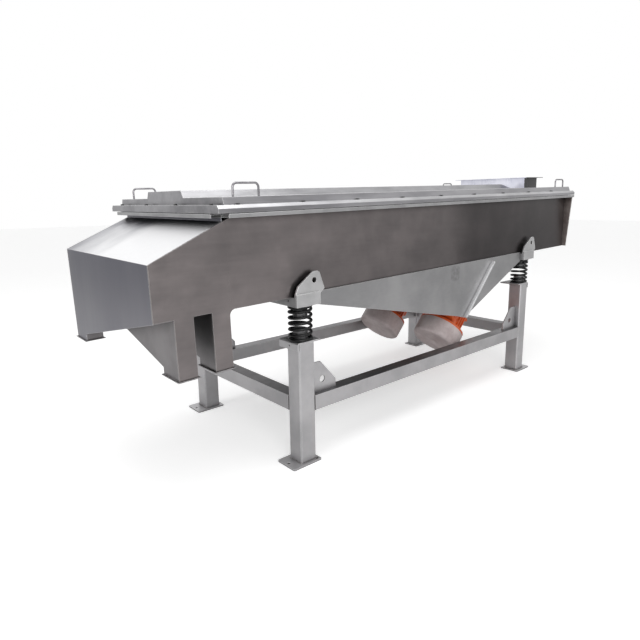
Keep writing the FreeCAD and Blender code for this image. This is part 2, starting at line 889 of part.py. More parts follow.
def discharge_trays():
    """Two inclined sheets that carry each deck's product over to its own chute."""
    members = []
    wall = S.sheet_thick
    for name, height, finish in (
        ("upper_tray", S.upper_deck_height, middle_end),
        ("lower_tray", S.lower_deck_height, middle_feed),
    ):
        body = new_body(name)
        start = -deck_discharge_end
        outline = [
            (start, height),
            (finish, height - S.tray_drop),
            (finish, height - S.tray_drop + wall),
            (start, height + wall),
        ]
        add(body, "XZ", outline, -inside, inside * 2)
        stand_inclined(body)
        members.append(body)
    group("discharge_trays", members)


def top_rim():
    """The outward folded flange round the top of the box, open at two corners."""
    body = new_body("top_rim")
    end = -rim_discharge_end
    length = rim_discharge_end + rim_feed_end
    low = S.box_height
    plate = rectangle(end, -rim_half_width, rim_feed_end, rim_half_width)
    add(body, "XY", plate, low, S.rim_depth)
    opening = rectangle(-neck_end, -inside, S.box_feed_end, inside)
    cut(body, "XY", opening, low, S.rim_depth)
    groove_depth = S.rim_depth - S.rim_sheet
    outer = rim_half_width - S.rim_sheet
    for side_name, side in SIDES:
        near_edge = S.box_half_width * side
        far_edge = outer * side
        groove = rectangle(end + S.rim_sheet, near_edge, rim_feed_end - S.rim_sheet, far_edge)
        cut(body, "XY", groove, low, groove_depth)
        notch = rectangle(end, near_edge, end + S.rim_notch, rim_half_width * side)
        cut(body, "XY", notch, low, S.rim_depth)
    groove = rectangle(end + S.rim_sheet, -outer, -neck_end - S.sheet_thick, outer)
    cut(body, "XY", groove, low, groove_depth)
    drill_bolt_holes(body, low, S.rim_depth)
    stand_inclined(body)
    keep(body, "top_rim")


# ---------------------------------------------------------------- cover
rim_top = S.box_height + S.rim_depth
cover_base = rim_top + S.gasket_thick
bevel_foot = cover_base + S.cover_rim_depth
shelf_height = bevel_foot + S.cover_bevel_rise
cover_top = shelf_height + S.cover_rise
shelf_edge = rim_half_width - S.cover_bevel_run
dome_foot = shelf_edge - S.cover_shelf
dome_top = dome_foot - S.cover_lean
dome_end = -rim_discharge_end + S.cover_end_inset
inlet_finish = S.box_feed_end - S.inlet_from_end
inlet_start = inlet_finish - S.inlet_length
ridge_finish = inlet_start - S.ridge_gap


def bolt_places():
    """Places of the cover bolts: a row along each side and one across the discharge end."""
    side_row = rim_half_width - S.bolt_inset
    first = S.bolt_from_discharge_end - rim_discharge_end
    last = S.box_feed_end - S.bolt_from_feed_end
    count = int(round(S.bolts_per_side.number))
    places = []
    for number in range(count):
        along = first + (last - first) * (number / (count - 1))
        for side_name, side in SIDES:
            places.append((along, side_row * side))
    for step in (-1.5, -0.5, 0.5, 1.5):
        places.append((S.bolt_inset - rim_discharge_end, S.end_bolt_pitch * step))
    return places


def drill_bolt_holes(body, start, length):
    """Take away the bolts' clearance holes, six-sided to keep their facets down."""
    sketch = sketch_on(body, "XY", start)
    for x, y in bolt_places():
        draw_outline(sketch, many_sided(x, y, S.bolt_radius + S.bolt_clearance, WIRE_SIDES))
    extrude(body, "Pocket", sketch, "XY", length)


def rim_gasket():
    """The rubber strip pressed between the flange and the cover, inside the bolts."""
    body = new_body("rim_gasket")
    outer = dome_foot - S.gasket_inset
    width = S.gasket_width
    end = -neck_end - S.gasket_inset
    feed = rim_feed_end - S.gasket_inset
    add(body, "XY", rectangle(end, -outer, feed, outer), rim_top, S.gasket_thick)
    hole = rectangle(end + width, width - outer, feed - width, outer - width)
    cut(body, "XY", hole, rim_top, S.gasket_thick)
    stand_inclined(body)
    keep(body, "rim_gasket")


def cover_shell():
    """The pressed cover: folded rim, leaning sides, flat top and a raised middle ridge."""
    body = new_body("cover_shell")
    sheet_thick = S.cover_sheet
    end = -rim_discharge_end
    length = rim_discharge_end + rim_feed_end
    rim = [
        (-rim_half_width, cover_base),
        (rim_half_width, cover_base),
        (rim_half_width, bevel_foot),
        (shelf_edge, shelf_height),
        (-shelf_edge, shelf_height),
        (-rim_half_width, bevel_foot),
    ]
    add(body, "YZ", rim, end, length)
    dome_length = S.box_feed_end - dome_end
    dome = [
        (-dome_foot, shelf_height),
        (dome_foot, shelf_height),
        (dome_top, cover_top),
        (-dome_top, cover_top),
    ]
    add(body, "YZ", dome, dome_end, dome_length)
    ridge_height = cover_top + S.ridge_rise
    ridge = [
        (-S.ridge_base, cover_top),
        (S.ridge_base, cover_top),
        (S.ridge_top, ridge_height),
        (-S.ridge_top, ridge_height),
    ]
    add(body, "YZ", ridge, dome_end, ridge_finish - dome_end)
    slope = [
        (ridge_finish - S.ridge_slope, ridge_height),
        (ridge_finish, cover_top),
        (ridge_finish + S.cut_over, ridge_height),
    ]
    cut(body, "XZ", slope, -S.ridge_base, S.ridge_base * 2)
    inner_rim = [
        (-rim_half_width + sheet_thick, cover_base),
        (rim_half_width - sheet_thick, cover_base),
        (rim_half_width - sheet_thick, bevel_foot - sheet_thick / 2),
        (shelf_edge - sheet_thick / 2, shelf_height - sheet_thick),
        (-shelf_edge + sheet_thick / 2, shelf_height - sheet_thick),
        (-rim_half_width + sheet_thick, bevel_foot - sheet_thick / 2),
    ]
    cut(body, "YZ", inner_rim, end + sheet_thick, length - sheet_thick * 2)
    inner_dome = [
        (-dome_foot + sheet_thick, shelf_height - sheet_thick),
        (dome_foot - sheet_thick, shelf_height - sheet_thick),
        (dome_top - sheet_thick, cover_top - sheet_thick),
        (-dome_top + sheet_thick, cover_top - sheet_thick),
    ]
    cut(body, "YZ", inner_dome, dome_end + sheet_thick, dome_length - sheet_thick * 2)
    inner_ridge = [
        (-S.ridge_base + sheet_thick, cover_top - sheet_thick),
        (S.ridge_base - sheet_thick, cover_top - sheet_thick),
        (S.ridge_top - sheet_thick, ridge_height - sheet_thick),
        (-S.ridge_top + sheet_thick, ridge_height - sheet_thick),
    ]
    ridge_room = ridge_finish - dome_end - S.ridge_slope - sheet_thick * 2
    cut(body, "YZ", inner_ridge, dome_end + sheet_thick, ridge_room)
    half_width = S.inlet_half_width - sheet_thick
    mouth = rectangle(inlet_start + sheet_thick, -half_width, inlet_finish - sheet_thick, half_width)
    cut(body, "XY", mouth, cover_top - sheet_thick * 2, sheet_thick * 3)
    drill_bolt_holes(body, shelf_height - sheet_thick, sheet_thick)
    stand_inclined(body)
    keep(body, "cover_shell")


def feed_inlet():
    """The square feed spout on the cover, with a flat flange for a sleeve or pipe."""
    body = new_body("feed_inlet")
    wall = S.cover_sheet
    out = S.inlet_flange
    half = S.inlet_half_width
    outline = rectangle(inlet_start, -half, inlet_finish, half)
    add(body, "XY", outline, cover_top, S.inlet_rise)
    flange = rectangle(inlet_start - out, -half - out, inlet_finish + out, half + out)
    add(body, "XY", flange, cover_top + S.inlet_rise - wall, wall)
    hollow = rectangle(inlet_start + wall, wall - half, inlet_finish - wall, half - wall)
    cut(body, "XY", hollow, cover_top, S.inlet_rise)
    stand_inclined(body)
    keep(body, "feed_inlet")


def cover_handles():
    """Four lifting handles bent from round rod, welded on the cover's edge."""
    half = S.handle_length.number / 2
    rise = S.handle_rise.number
    bend = S.handle_bend.number
    rod = S.handle_rod_radius.number
    low_bend = rise - bend
    knee = bend * (1 - math.sqrt(0.5))
    path = Part.makePolygon([
        FreeCAD.Vector(-half, 0, 0),
        FreeCAD.Vector(-half, 0, low_bend),
        FreeCAD.Vector(knee - half, 0, rise - knee),
        FreeCAD.Vector(bend - half, 0, rise),
        FreeCAD.Vector(half - bend, 0, rise),
        FreeCAD.Vector(half - knee, 0, rise - knee),
        FreeCAD.Vector(half, 0, low_bend),
        FreeCAD.Vector(half, 0, 0),
    ])
    foot = FreeCAD.Vector(-half, 0, 0)
    ring = many_sided_ring(foot, FreeCAD.Vector(1, 0, 0), FreeCAD.Vector(0, 1, 0), rod)
    bow = path.makePipeShell([ring], True, False, 1)
    side_place = rim_half_width - S.handle_inset
    members = []
    discharge_place = S.handle_from_discharge_end - rim_discharge_end
    feed_place = S.box_feed_end - S.handle_from_feed_end
    for place in (discharge_place, feed_place):
        for side_name, side in SIDES:
            handle = document.addObject("Part::Feature", "handle")
            handle.Shape = bow
            stand_inclined(handle, place, side_place * side, cover_top)
            members.append(handle)
    group("cover_handles", members)


def cover_bolts():
    """Hexagon bolts through the cover's shelf and the flange, each with its nut below."""
    members = []
    flange_under = rim_top - S.rim_sheet
    for x, y in bolt_places():
        body = new_body("cover_bolt")
        head = many_sided(0, 0, S.bolt_head_radius, WIRE_SIDES)
        add(body, "XY", head, shelf_height, S.bolt_head_rise)
        shank_start = flange_under - S.bolt_head_rise
        shank = many_sided(0, 0, S.bolt_radius, WIRE_SIDES)
        add(body, "XY", shank, shank_start, shelf_height - shank_start)
        add(body, "XY", head, shank_start, S.bolt_head_rise)
        stand_inclined(body, x, y)
        members.append(body)
    group("cover_bolts", members)


# ---------------------------------------------------------------- decks
deck_half_width = inside - S.deck_frame_gap


def deck_frame(label, height):
    """A welded screen frame of rectangular tube with cross bars under its mesh."""
    body = new_body(label)
    end = -deck_discharge_end
    length = deck_discharge_end + deck_feed_end
    width = S.deck_frame_width
    plate = rectangle(end, -deck_half_width, deck_feed_end, deck_half_width)
    low = height - S.deck_frame_depth
    add(body, "XY", plate, low, S.deck_frame_depth)
    bays = S.deck_cross_bars + 1
    count = int(round(bays.number))
    bay = (length - width) / bays
    for number in range(count):
        left = end + width + bay * number
        window = rectangle(left, width - deck_half_width, left + bay - width, deck_half_width - width)
        cut(body, "XY", window, low, S.deck_frame_depth)
    stand_inclined(body)
    keep(body, label)


def deck_mesh(label, height):
    """The stretched screen cloth, glued on its frame."""
    body = new_body(label)
    plate = rectangle(-deck_discharge_end, -deck_half_width, deck_feed_end, deck_half_width)
    add(body, "XY", plate, height, S.mesh_thick)
    stand_inclined(body)
    keep(body, label)


def deck_rails():
    """Angle bars welded along the inside of the side plates, on which the frames lie."""
    members = []
    for height in (S.upper_deck_height, S.lower_deck_height):
        top = height - S.deck_frame_depth
        for side_name, side in SIDES:
            body = new_body("deck_rail")
            leg = S.deck_rail_leg
            thick = S.deck_rail_thick
            outline = [
                (inside * side, top),
                ((inside - leg) * side, top),
                ((inside - leg) * side, top - thick),
                ((inside - thick) * side, top - thick),
                ((inside - thick) * side, top - leg),
                (inside * side, top - leg),
            ]
            length = deck_discharge_end + deck_feed_end
            add(body, "YZ", outline, -deck_discharge_end, length)
            stand_inclined(body)
            members.append(body)
    group("deck_rails", members)


# ---------------------------------------------------------------- motor frame
# Motor frame: X runs up along the motor axis, Z is the throw direction.
along_x = cosine(S.throw_angle)
along_z = sine(S.throw_angle)
plate_face = S.motor_foot_height + S.mount_plate_thick


def stand_on_motor_axis(thing, side=0):
    """Place a piece in the frame of a motor, or of the plate between the motors."""
    stand_inclined(thing, S.motor_low_x, S.motor_offset * side, -S.motor_low_drop, S.throw_angle)


def motor_frame_plate(side_name, side):
    """The deep plate lapped on the box side, slotted for the motors' mounting plate."""
    label = "%s_motor_frame_plate" % side_name
    body = new_body(label)
    span = half_long - S.beam_width / 2
    outline = [
        (-span, S.motor_frame_lap),
        (-span, -S.motor_frame_toe),
        (S.motor_frame_low_x, -S.motor_frame_low_drop),
        (span, -S.motor_frame_toe),
        (span, S.motor_frame_lap),
    ]
    start = S.box_half_width if side > 0 else -S.box_half_width - S.motor_frame_thick
    add(body, "XZ", outline, start, S.motor_frame_thick)
    slot = []
    gap = S.mount_plate_clearance
    for along, across in (
        (S.mount_plate_start - S.mount_plate_thick * 5, S.motor_foot_height - gap),
        (S.mount_plate_finish + gap, S.motor_foot_height - gap),
        (S.mount_plate_finish + gap, plate_face + gap),
        (S.mount_plate_start - S.mount_plate_thick * 5, plate_face + gap),
    ):
        x = S.motor_low_x + along * along_x - across * along_z
        z = along * along_z + across * along_x - S.motor_low_drop
        slot.append((x, z))
    cut(body, "XZ", slot, start, S.motor_frame_thick)
    stand_inclined(body)
    keep(body, label)


def motor_mounting_plate():
    """The thick inclined plate through both frame plates, drilled for the motors' feet."""
    body = new_body("motor_mounting_plate")
    half = S.box_half_width + S.motor_frame_thick + S.mount_plate_overhang
    outline = rectangle(S.mount_plate_start, -half, S.mount_plate_finish, half)
    add(body, "XY", outline, S.motor_foot_height, S.mount_plate_thick)
    holes = []
    for place in foot_places():
        for motor_side in (-1, 1):
            for bolt_side in (-1, 1):
                y = S.motor_offset * motor_side + S.foot_bolt_side * bolt_side
                holes.append((place, y, S.foot_bolt_radius + S.bolt_clearance))
    drill(body, "XY", holes, S.motor_foot_height, S.mount_plate_thick)
    stand_on_motor_axis(body)
    keep(body, "motor_mounting_plate")


def frame_cross_tubes():
    """Two square tubes that brace the motor frame plates apart."""
    members = []
    for place in (-S.cross_tube_discharge_place, S.cross_tube_feed_place):
        body = new_body("cross_tube")
        start = -S.box_half_width
        length = S.box_half_width * 2
        for work, half in ((add, S.cross_tube_width / 2), (cut, S.cross_tube_width / 2 - S.cross_tube_wall)):
            middle = -S.cross_tube_drop
            work(body, "XZ", rectangle(place - half, middle - half, place + half, middle + half), start, length)
        stand_inclined(body)
        members.append(body)
    group("frame_cross_tubes", members)


# ---------------------------------------------------------------- motors
cover_end = S.motor_cover_length
body_end = S.motor_length - S.motor_cover_length


def foot_places():
    """Middle of each motor foot along the motor axis."""
    near = cover_end + S.motor_flange_thick + S.motor_foot_place
    return (near, S.motor_length - near)


def motor_housing(side_name, side):
    """The cast housing: two end flanges, ribbed barrel, feet and a wiring box."""
    label = "%s_motor_housing" % side_name
    body = new_body(label)
    flange = S.motor_flange_thick
    inner_start = cover_end + S.motor_end_wall
    inner_end = body_end - S.motor_end_wall
    barrel = many_sided(0, 0, S.motor_body_radius, BARREL_SIDES)
    add(body, "YZ", barrel, cover_end, body_end - cover_end)
    for place in (cover_end, body_end - flange):
        add(body, "YZ", many_sided(0, 0, S.motor_cover_radius, BARREL_SIDES), place, flange)
    drill(body, "YZ", [(0, 0, S.bearing_outer_radius)], cover_end, body_end - cover_end)
    drill(body, "YZ", [(0, 0, S.motor_bore_radius)], inner_start, inner_end - inner_start)
    root = (S.motor_body_radius + S.motor_bore_radius) / 2
    foot_low = S.motor_foot_height - S.mount_plate_thick * 2
    half = S.motor_foot_length / 2
    width = S.motor_foot_half_width
    arch = [(root * math.cos(math.radians(turn)), root * math.sin(math.radians(turn)))
            for turn in range(160, 0, -35)]
    foot = [(-width, S.motor_foot_height), (-width, foot_low)] + arch
    foot += [(width, foot_low), (width, S.motor_foot_height)]
    for place in foot_places():
        add(body, "YZ", foot, place - half, S.motor_foot_length)
    barrel_start = cover_end + flange
    barrel_length = S.motor_length - barrel_start * 2
    rib_reach = S.motor_body_radius + S.motor_rib_rise
    count = int(round(S.motor_rib_count.number))
    for number in range(count):
        level = S.motor_rib_pitch * (number - (count - 1) / 2)
        for rib_side in (-1, 1):
            inner = root * rib_side
            tip = rib_reach * rib_side
            rib = rectangle(inner, level - S.motor_rib_thick / 2, tip, level + S.motor_rib_thick / 2)
            add(body, "YZ", rib, barrel_start, barrel_length)
    middle = S.motor_length / 2
    box_top = -root
    half_box = S.motor_box_length / 2
    half_width = S.motor_box_width / 2
    box_low = -S.motor_body_radius - S.motor_box_rise
    box = rectangle(middle - half_box, box_low, middle + half_box, box_top)
    add(body, "XZ", box, -half_width, S.motor_box_width)
    gland_height = (box_low - S.motor_body_radius) / 2
    gland_start = half_width if side > 0 else -half_width - S.motor_gland_length
    gland = many_sided(middle, gland_height, S.motor_gland_radius, WIRE_SIDES)
    add(body, "XZ", gland, gland_start, S.motor_gland_length)
    holes = []
    for place in foot_places():
        for bolt_side in (-1, 1):
            holes.append((place, S.foot_bolt_side * bolt_side, S.foot_bolt_radius + S.bolt_clearance))
    drill(body, "XY", holes, 0, S.motor_foot_height)
    stand_on_motor_axis(body, side)
    keep(body, label)


def motor_end_covers():
    """Four pressed cups over the eccentric weights, one on each motor end."""
    wall = S.motor_cover_wall
    edge = S.motor_cover_edge
    radius = S.motor_cover_radius
    members = []
    for side_name, side in SIDES:
        for end in (-1, 1):
            closed = as_size(0) if end < 0 else S.motor_length
            opened = cover_end if end < 0 else body_end
            inward = -end
            body = new_body("motor_end_cover")
            profile = [
                (closed, S.motor_cover_bung_radius),
                (closed, radius - edge),
                (closed + edge * inward, radius),
                (opened, radius),
                (opened, radius - wall),
                (closed + wall * inward, radius - wall - edge),
                (closed + wall * inward, S.motor_cover_bung_radius),
            ]
            turn_profile(body, profile)
            stand_on_motor_axis(body, side)
            members.append(body)
    group("motor_end_covers", members)


def motor_stators():
    """The wound stator pack pressed into each housing."""
    members = []
    for side_name, side in SIDES:
        body = new_body("stator")
        start = (S.motor_length - S.stator_length) / 2
        finish = start + S.stator_length
        profile = [
            (start, S.stator_inner_radius),
            (start, S.motor_bore_radius),
            (finish, S.motor_bore_radius),
            (finish, S.stator_inner_radius),
        ]
        turn_profile(body, profile)
        stand_on_motor_axis(body, side)
        members.append(body)
    group("motor_stators", members)


def motor_bearings():
    """A roller bearing in each end wall of both motors."""
    members = []
    for side_name, side in SIDES:
        for start in (cover_end, body_end - S.bearing_width):
            body = new_body("bearing")
            finish = start + S.bearing_width
            bore = S.shaft_radius + S.shaft_clearance
            profile = [
                (start, bore),
                (start, S.bearing_outer_radius),
                (finish, S.bearing_outer_radius),
                (finish, bore),
            ]
            turn_profile(body, profile)
            stand_on_motor_axis(body, side)
            members.append(body)
    group("motor_bearings", members)


def rotor_shaft(side_name, side):
    """The motor shaft with its rotor core, running in the two bearings."""
    label = "%s_rotor_shaft" % side_name
    body = new_body(label)
    start = S.shaft_end_gap
    finish = S.motor_length - S.shaft_end_gap
    core_start = (S.motor_length - S.stator_length) / 2
    core_finish = core_start + S.stator_length
    profile = [
        (start, 0),
        (start, S.shaft_radius),
        (core_start, S.shaft_radius),
        (core_start, S.rotor_core_radius),
        (core_finish, S.rotor_core_radius),
        (core_finish, S.shaft_radius),
        (finish, S.shaft_radius),
        (finish, 0),
    ]
    turn_profile(body, profile)
    stand_on_motor_axis(body, side)
    keep(body, label)


def eccentric_weights(side_name, side):
    """A half-disc weight clamped on each shaft end, hanging down at rest."""
    members = []
    thick = S.weight_thick
    reach = S.weight_radius * 2
    for place in (S.weight_start, S.motor_length - S.weight_start - thick):
        body = new_body("weight")
        add_round(body, "YZ", 0, 0, S.weight_radius, place, thick)
        cut(body, "YZ", rectangle(-reach, 0, reach, reach), place, thick)
        clamp = S.weight_clamp_rise
        add(body, "YZ", rectangle(-clamp, -clamp, clamp, clamp), place, thick)
        drill(body, "YZ", [(0, 0, S.shaft_radius)], place, thick)
        stand_on_motor_axis(body, side)
        members.append(body)
    group("%s_eccentric_weights" % side_name, members)


# ---------------------------------------------------------------- assembly
for side_name, side in SIDES:
    side_rail(side_name, side)
    side_plate(side_name, side)
    motor_frame_plate(side_name, side)
    motor_housing(side_name, side)
    rotor_shaft(side_name, side)
    eccentric_weights(side_name, side)
for end_name, end in ENDS:
    end_beam(end_name, end)
    cross_beam(end_name, end)
    for side_name, side in SIDES:
        post(end_name, end, side_name, side)
        foot_plate(end_name, end, side_name, side)
        spring_seat(end_name, end, side_name, side)
        spring(end_name, end, side_name, side)
        corner_bracket(end_name, end, side_name, side)
group("tie_lugs", [tie_lug(end, side) for end_name, end in ENDS for side_name, side in SIDES])
bottom_pan()
feed_end_plate()
discharge_hood()
oversize_chute()
middle_wall = S.upper_deck_height - S.tray_drop
side_chute("middle_chute", middle_end, middle_wall, S.lower_deck_height - S.tray_drop)
side_chute("fines_chute", fines_end, S.fines_wall_rise, S.pan_thick)
discharge_trays()
top_rim()
rim_gasket()
cover_shell()
feed_inlet()
cover_handles()
cover_bolts()
deck_frame("upper_deck_frame", S.upper_deck_height)
deck_frame("lower_deck_frame", S.lower_deck_height)
deck_mesh("upper_deck_mesh", S.upper_deck_height)
deck_mesh("lower_deck_mesh", S.lower_deck_height)
deck_rails()
motor_mounting_plate()
frame_cross_tubes()
motor_end_covers()
motor_stators()
motor_bearings()

document.recompute()
for thing in document.Objects:
    if "Invalid" in thing.State or "Error" in thing.State:
        raise RuntimeError("%s failed to build" % thing.Name)
for piece in pieces:
    if piece.Shape.isNull() or not piece.Shape.isValid():
        raise RuntimeError("%s has no valid shape" % piece.Label)

os.makedirs("parts", exist_ok=True)
for piece in pieces:
    piece.Shape.exportStep("parts/%s.step" % piece.Label)
print("%d pieces written" % len(pieces))
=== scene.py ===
import math

import bpy
from mathutils import Matrix, Vector


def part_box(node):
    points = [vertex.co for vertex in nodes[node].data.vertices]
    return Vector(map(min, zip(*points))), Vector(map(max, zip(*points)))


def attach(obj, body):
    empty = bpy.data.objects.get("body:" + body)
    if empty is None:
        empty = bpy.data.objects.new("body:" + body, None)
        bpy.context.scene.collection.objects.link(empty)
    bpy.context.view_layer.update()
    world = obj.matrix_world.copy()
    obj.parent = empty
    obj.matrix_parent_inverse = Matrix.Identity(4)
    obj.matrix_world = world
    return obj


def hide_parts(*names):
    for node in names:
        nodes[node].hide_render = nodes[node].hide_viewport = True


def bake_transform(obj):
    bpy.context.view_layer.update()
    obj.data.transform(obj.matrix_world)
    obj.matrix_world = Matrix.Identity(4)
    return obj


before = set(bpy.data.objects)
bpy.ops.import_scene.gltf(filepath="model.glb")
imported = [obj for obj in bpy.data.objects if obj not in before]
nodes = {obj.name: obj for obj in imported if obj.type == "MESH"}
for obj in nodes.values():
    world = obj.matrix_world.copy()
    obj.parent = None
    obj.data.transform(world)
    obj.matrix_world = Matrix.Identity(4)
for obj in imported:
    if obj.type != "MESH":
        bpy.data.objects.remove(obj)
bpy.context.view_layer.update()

# ---------------------------------------------------------------- studio
# A pale floor that runs into a white surround, one broad lamp overhead,
# one on the front side and a weaker one behind the discharge end.
bpy.ops.object.select_all(action="DESELECT")
bpy.ops.mesh.primitive_plane_add(size=60, location=(0, 0, 0))
floor = bpy.context.object
floor.name = "studio_floor"


class Wire:
    """A value, vector or colour on its way through a finish, with arithmetic."""

    def __init__(self, finish, socket):
        self.finish = finish
        self.socket = socket

    def _math(self, operation, first, second):
        return self.finish.node("ShaderNodeMath", {"operation": operation}, {0: first, 1: second})

    def __add__(self, other):
        return self._math("ADD", self, other)

    def __radd__(self, other):
        return self._math("ADD", other, self)

    def __sub__(self, other):
        return self._math("SUBTRACT", self, other)

    def __rsub__(self, other):
        return self._math("SUBTRACT", other, self)

    def __mul__(self, other):
        return self._math("MULTIPLY", self, other)

    def __rmul__(self, other):
        return self._math("MULTIPLY", other, self)

    def ramp(self, low, high):
        """0 below low and 1 above high, with soft ends."""
        settings = {"interpolation_type": "SMOOTHSTEP"}
        sockets = {"Value": self, "From Min": low, "From Max": high}
        return self.finish.node("ShaderNodeMapRange", settings, sockets)

    def mix(self, first, second):
        """A colour between first and second, with this value as the share of second."""
        sockets = {0: self, 6: first, 7: second}
        return self.finish.node("ShaderNodeMix", {"data_type": "RGBA"}, sockets, 2)

    def stretch(self, x, y, z):
        """This vector with each direction stretched by its own factor."""
        sockets = {0: self, 1: (x, y, z)}
        return self.finish.node("ShaderNodeVectorMath", {"operation": "MULTIPLY"}, sockets)


class Finish:
    """A surface finish: one principled shader and the nodes that feed it."""

    def __init__(self, name, roughness=0.5, metallic=0.0, **constants):
        self.material = bpy.data.materials.new(name)
        self.material.use_nodes = True
        self.tree = self.material.node_tree
        self.shader = self.tree.nodes["Principled BSDF"]
        self.feed("Roughness", roughness)
        self.feed("Metallic", metallic)
        for socket, value in constants.items():
            self.feed(socket.replace("_", " "), value)

    def node(self, kind, settings, sockets, output=0):
        """Add one node, set it up, join its sockets and give one output back."""
        made = self.tree.nodes.new(kind)
        for name, value in settings.items():
            setattr(made, name, value)
        for name, value in sockets.items():
            if isinstance(value, Wire):
                self.tree.links.new(value.socket, made.inputs[name])
            elif isinstance(value, tuple) and len(made.inputs[name].default_value) == 4:
                made.inputs[name].default_value = (*value, 1)
            else:
                made.inputs[name].default_value = value
        return Wire(self, made.outputs[output])

    def feed(self, name, value):
        socket = self.shader.inputs[name]
        if isinstance(value, Wire):
            self.tree.links.new(value.socket, socket)
        elif isinstance(value, tuple):
            socket.default_value = (*value, 1)
        else:
            socket.default_value = value

    def place(self):
        return self.node("ShaderNodeTexCoord", {}, {}, "Object")

    def along(self, axis):
        return self.node("ShaderNodeSeparateXYZ", {}, {0: self.place()}, "XYZ".index(axis))

    def noise(self, vector, scale, detail=3.0, roughness=0.55):
        sockets = {"Vector": vector, "Scale": scale, "Detail": detail, "Roughness": roughness}
        return self.node("ShaderNodeTexNoise", {}, sockets)

    def rounded(self, radius):
        """The surface direction as if every edge had this small radius."""
        return self.node("ShaderNodeBevel", {"samples": 4}, {"Radius": radius})

    def facing(self, axis):
        """How far the surface looks along one axis, from -1 to 1."""
        normal = self.node("ShaderNodeNewGeometry", {}, {}, "Normal")
        return self.node("ShaderNodeSeparateXYZ", {}, {0: normal}, "XYZ".index(axis))

    def recess_shade(self, reach):
        """1 in the open and towards 0 in slots, folds and inner corners; the finishes use it to paint
        shade there.
        """
        return self.node("ShaderNodeAmbientOcclusion", {"samples": 8}, {"Distance": reach}, "AO")

    def edges(self, radius, low, high):
        """1 along outer and inner edges and 0 on the flats."""
        straight = self.node("ShaderNodeNewGeometry", {}, {}, "Normal")
        together = self.node("ShaderNodeVectorMath", {"operation": "DOT_PRODUCT"},
                             {0: self.rounded(radius), 1: straight}, "Value")
        return (1 - together).ramp(low, high)

    def bump(self, height, distance, strength, radius):
        sockets = {"Height": height, "Distance": distance, "Strength": strength}
        sockets["Normal"] = self.rounded(radius)
        self.feed("Normal", self.node("ShaderNodeBump", {}, sockets))


floor_finish = Finish("pale_studio_floor", roughness=0.9)
path = floor_finish.node("ShaderNodeLightPath", {}, {}, "Is Camera Ray")
mottle = floor_finish.noise(floor_finish.place(), 0.6)
floor_finish.feed("Base Color", mottle.mix((0.80, 0.80, 0.80), (0.84, 0.84, 0.84)))
floor_finish.feed("Emission Color", path.mix((0.0, 0.0, 0.0), (1.0, 1.0, 1.0)))
floor_finish.feed("Emission Strength", 0.45)
floor.data.materials.append(floor_finish.material)

world = bpy.data.worlds.new("studio_surround")
world.use_nodes = True
bpy.context.scene.world = world
sky = world.node_tree
rays = sky.nodes.new("ShaderNodeLightPath")
seen = sky.nodes.new("ShaderNodeMath")
seen.operation = "MAXIMUM"
shown = sky.nodes.new("ShaderNodeMath")
shown.operation = "MAXIMUM"
level = sky.nodes.new("ShaderNodeMapRange")
level.inputs["To Min"].default_value = 0.55
level.inputs["To Max"].default_value = 1.0
sky.links.new(rays.outputs["Is Camera Ray"], seen.inputs[0])
sky.links.new(rays.outputs["Is Glossy Ray"], seen.inputs[1])
sky.links.new(seen.outputs[0], shown.inputs[0])
sky.links.new(rays.outputs["Is Transmission Ray"], shown.inputs[1])
sky.links.new(shown.outputs[0], level.inputs["Value"])
sky.links.new(level.outputs["Result"], sky.nodes["Background"].inputs["Strength"])
sky.nodes["Background"].inputs["Color"].default_value = (1, 1, 1, 1)


def lamp(name, place, target, width, height, power):
    """One soft box that looks at a point of the machine."""
    light = bpy.data.lights.new(name, "AREA")
    light.shape = "RECTANGLE"
    light.size = width
    light.size_y = height
    light.energy = power
    holder = bpy.data.objects.new(name, light)
    bpy.context.scene.collection.objects.link(holder)
    holder.location = place
    holder.rotation_euler = (Vector(target) - Vector(place)).to_track_quat("-Z", "Y").to_euler()


lamp("overhead_softbox", place=(-0.6, -0.4, 4.6), target=(0, 0, 1.0), width=5.0, height=3.0, power=105)
lamp("front_softbox", place=(-3.0, -5.0, 2.6), target=(0, -0.4, 0.8), width=3.0, height=2.2, power=110)
lamp("discharge_softbox", place=(-6.0, 0.6, 2.4), target=(-1.7, 0, 0.9), width=2.0, height=2.0, power=40)

# The camera stands off the discharge end's front corner and looks slightly down.
CAMERA_PLACE = Vector((-2.6543, -2.4691, 1.3444))
yaw = math.radians(41.61)
pitch = math.radians(-11.06)
roll = math.radians(-0.65)
level_right = Vector((math.cos(yaw), -math.sin(yaw), 0))
ahead = Vector((math.sin(yaw) * math.cos(pitch), math.cos(yaw) * math.cos(pitch), math.sin(pitch)))
level_up = level_right.cross(ahead)
right = math.cos(roll) * level_right + math.sin(roll) * level_up
up = math.cos(roll) * level_up - math.sin(roll) * level_right
lens = bpy.data.cameras.new("front_quarter_view")
lens.sensor_width = 36
lens.lens = 28.88
lens.shift_x = -0.0116
lens.shift_y = -0.0301
camera = bpy.data.objects.new("front_quarter_view", lens)
bpy.context.scene.collection.objects.link(camera)
stand = Matrix((right, up, -ahead)).transposed().to_4x4()
stand.translation = CAMERA_PLACE
camera.matrix_world = stand
bpy.context.scene.camera = camera
bpy.context.scene.view_settings.view_transform = "Standard"


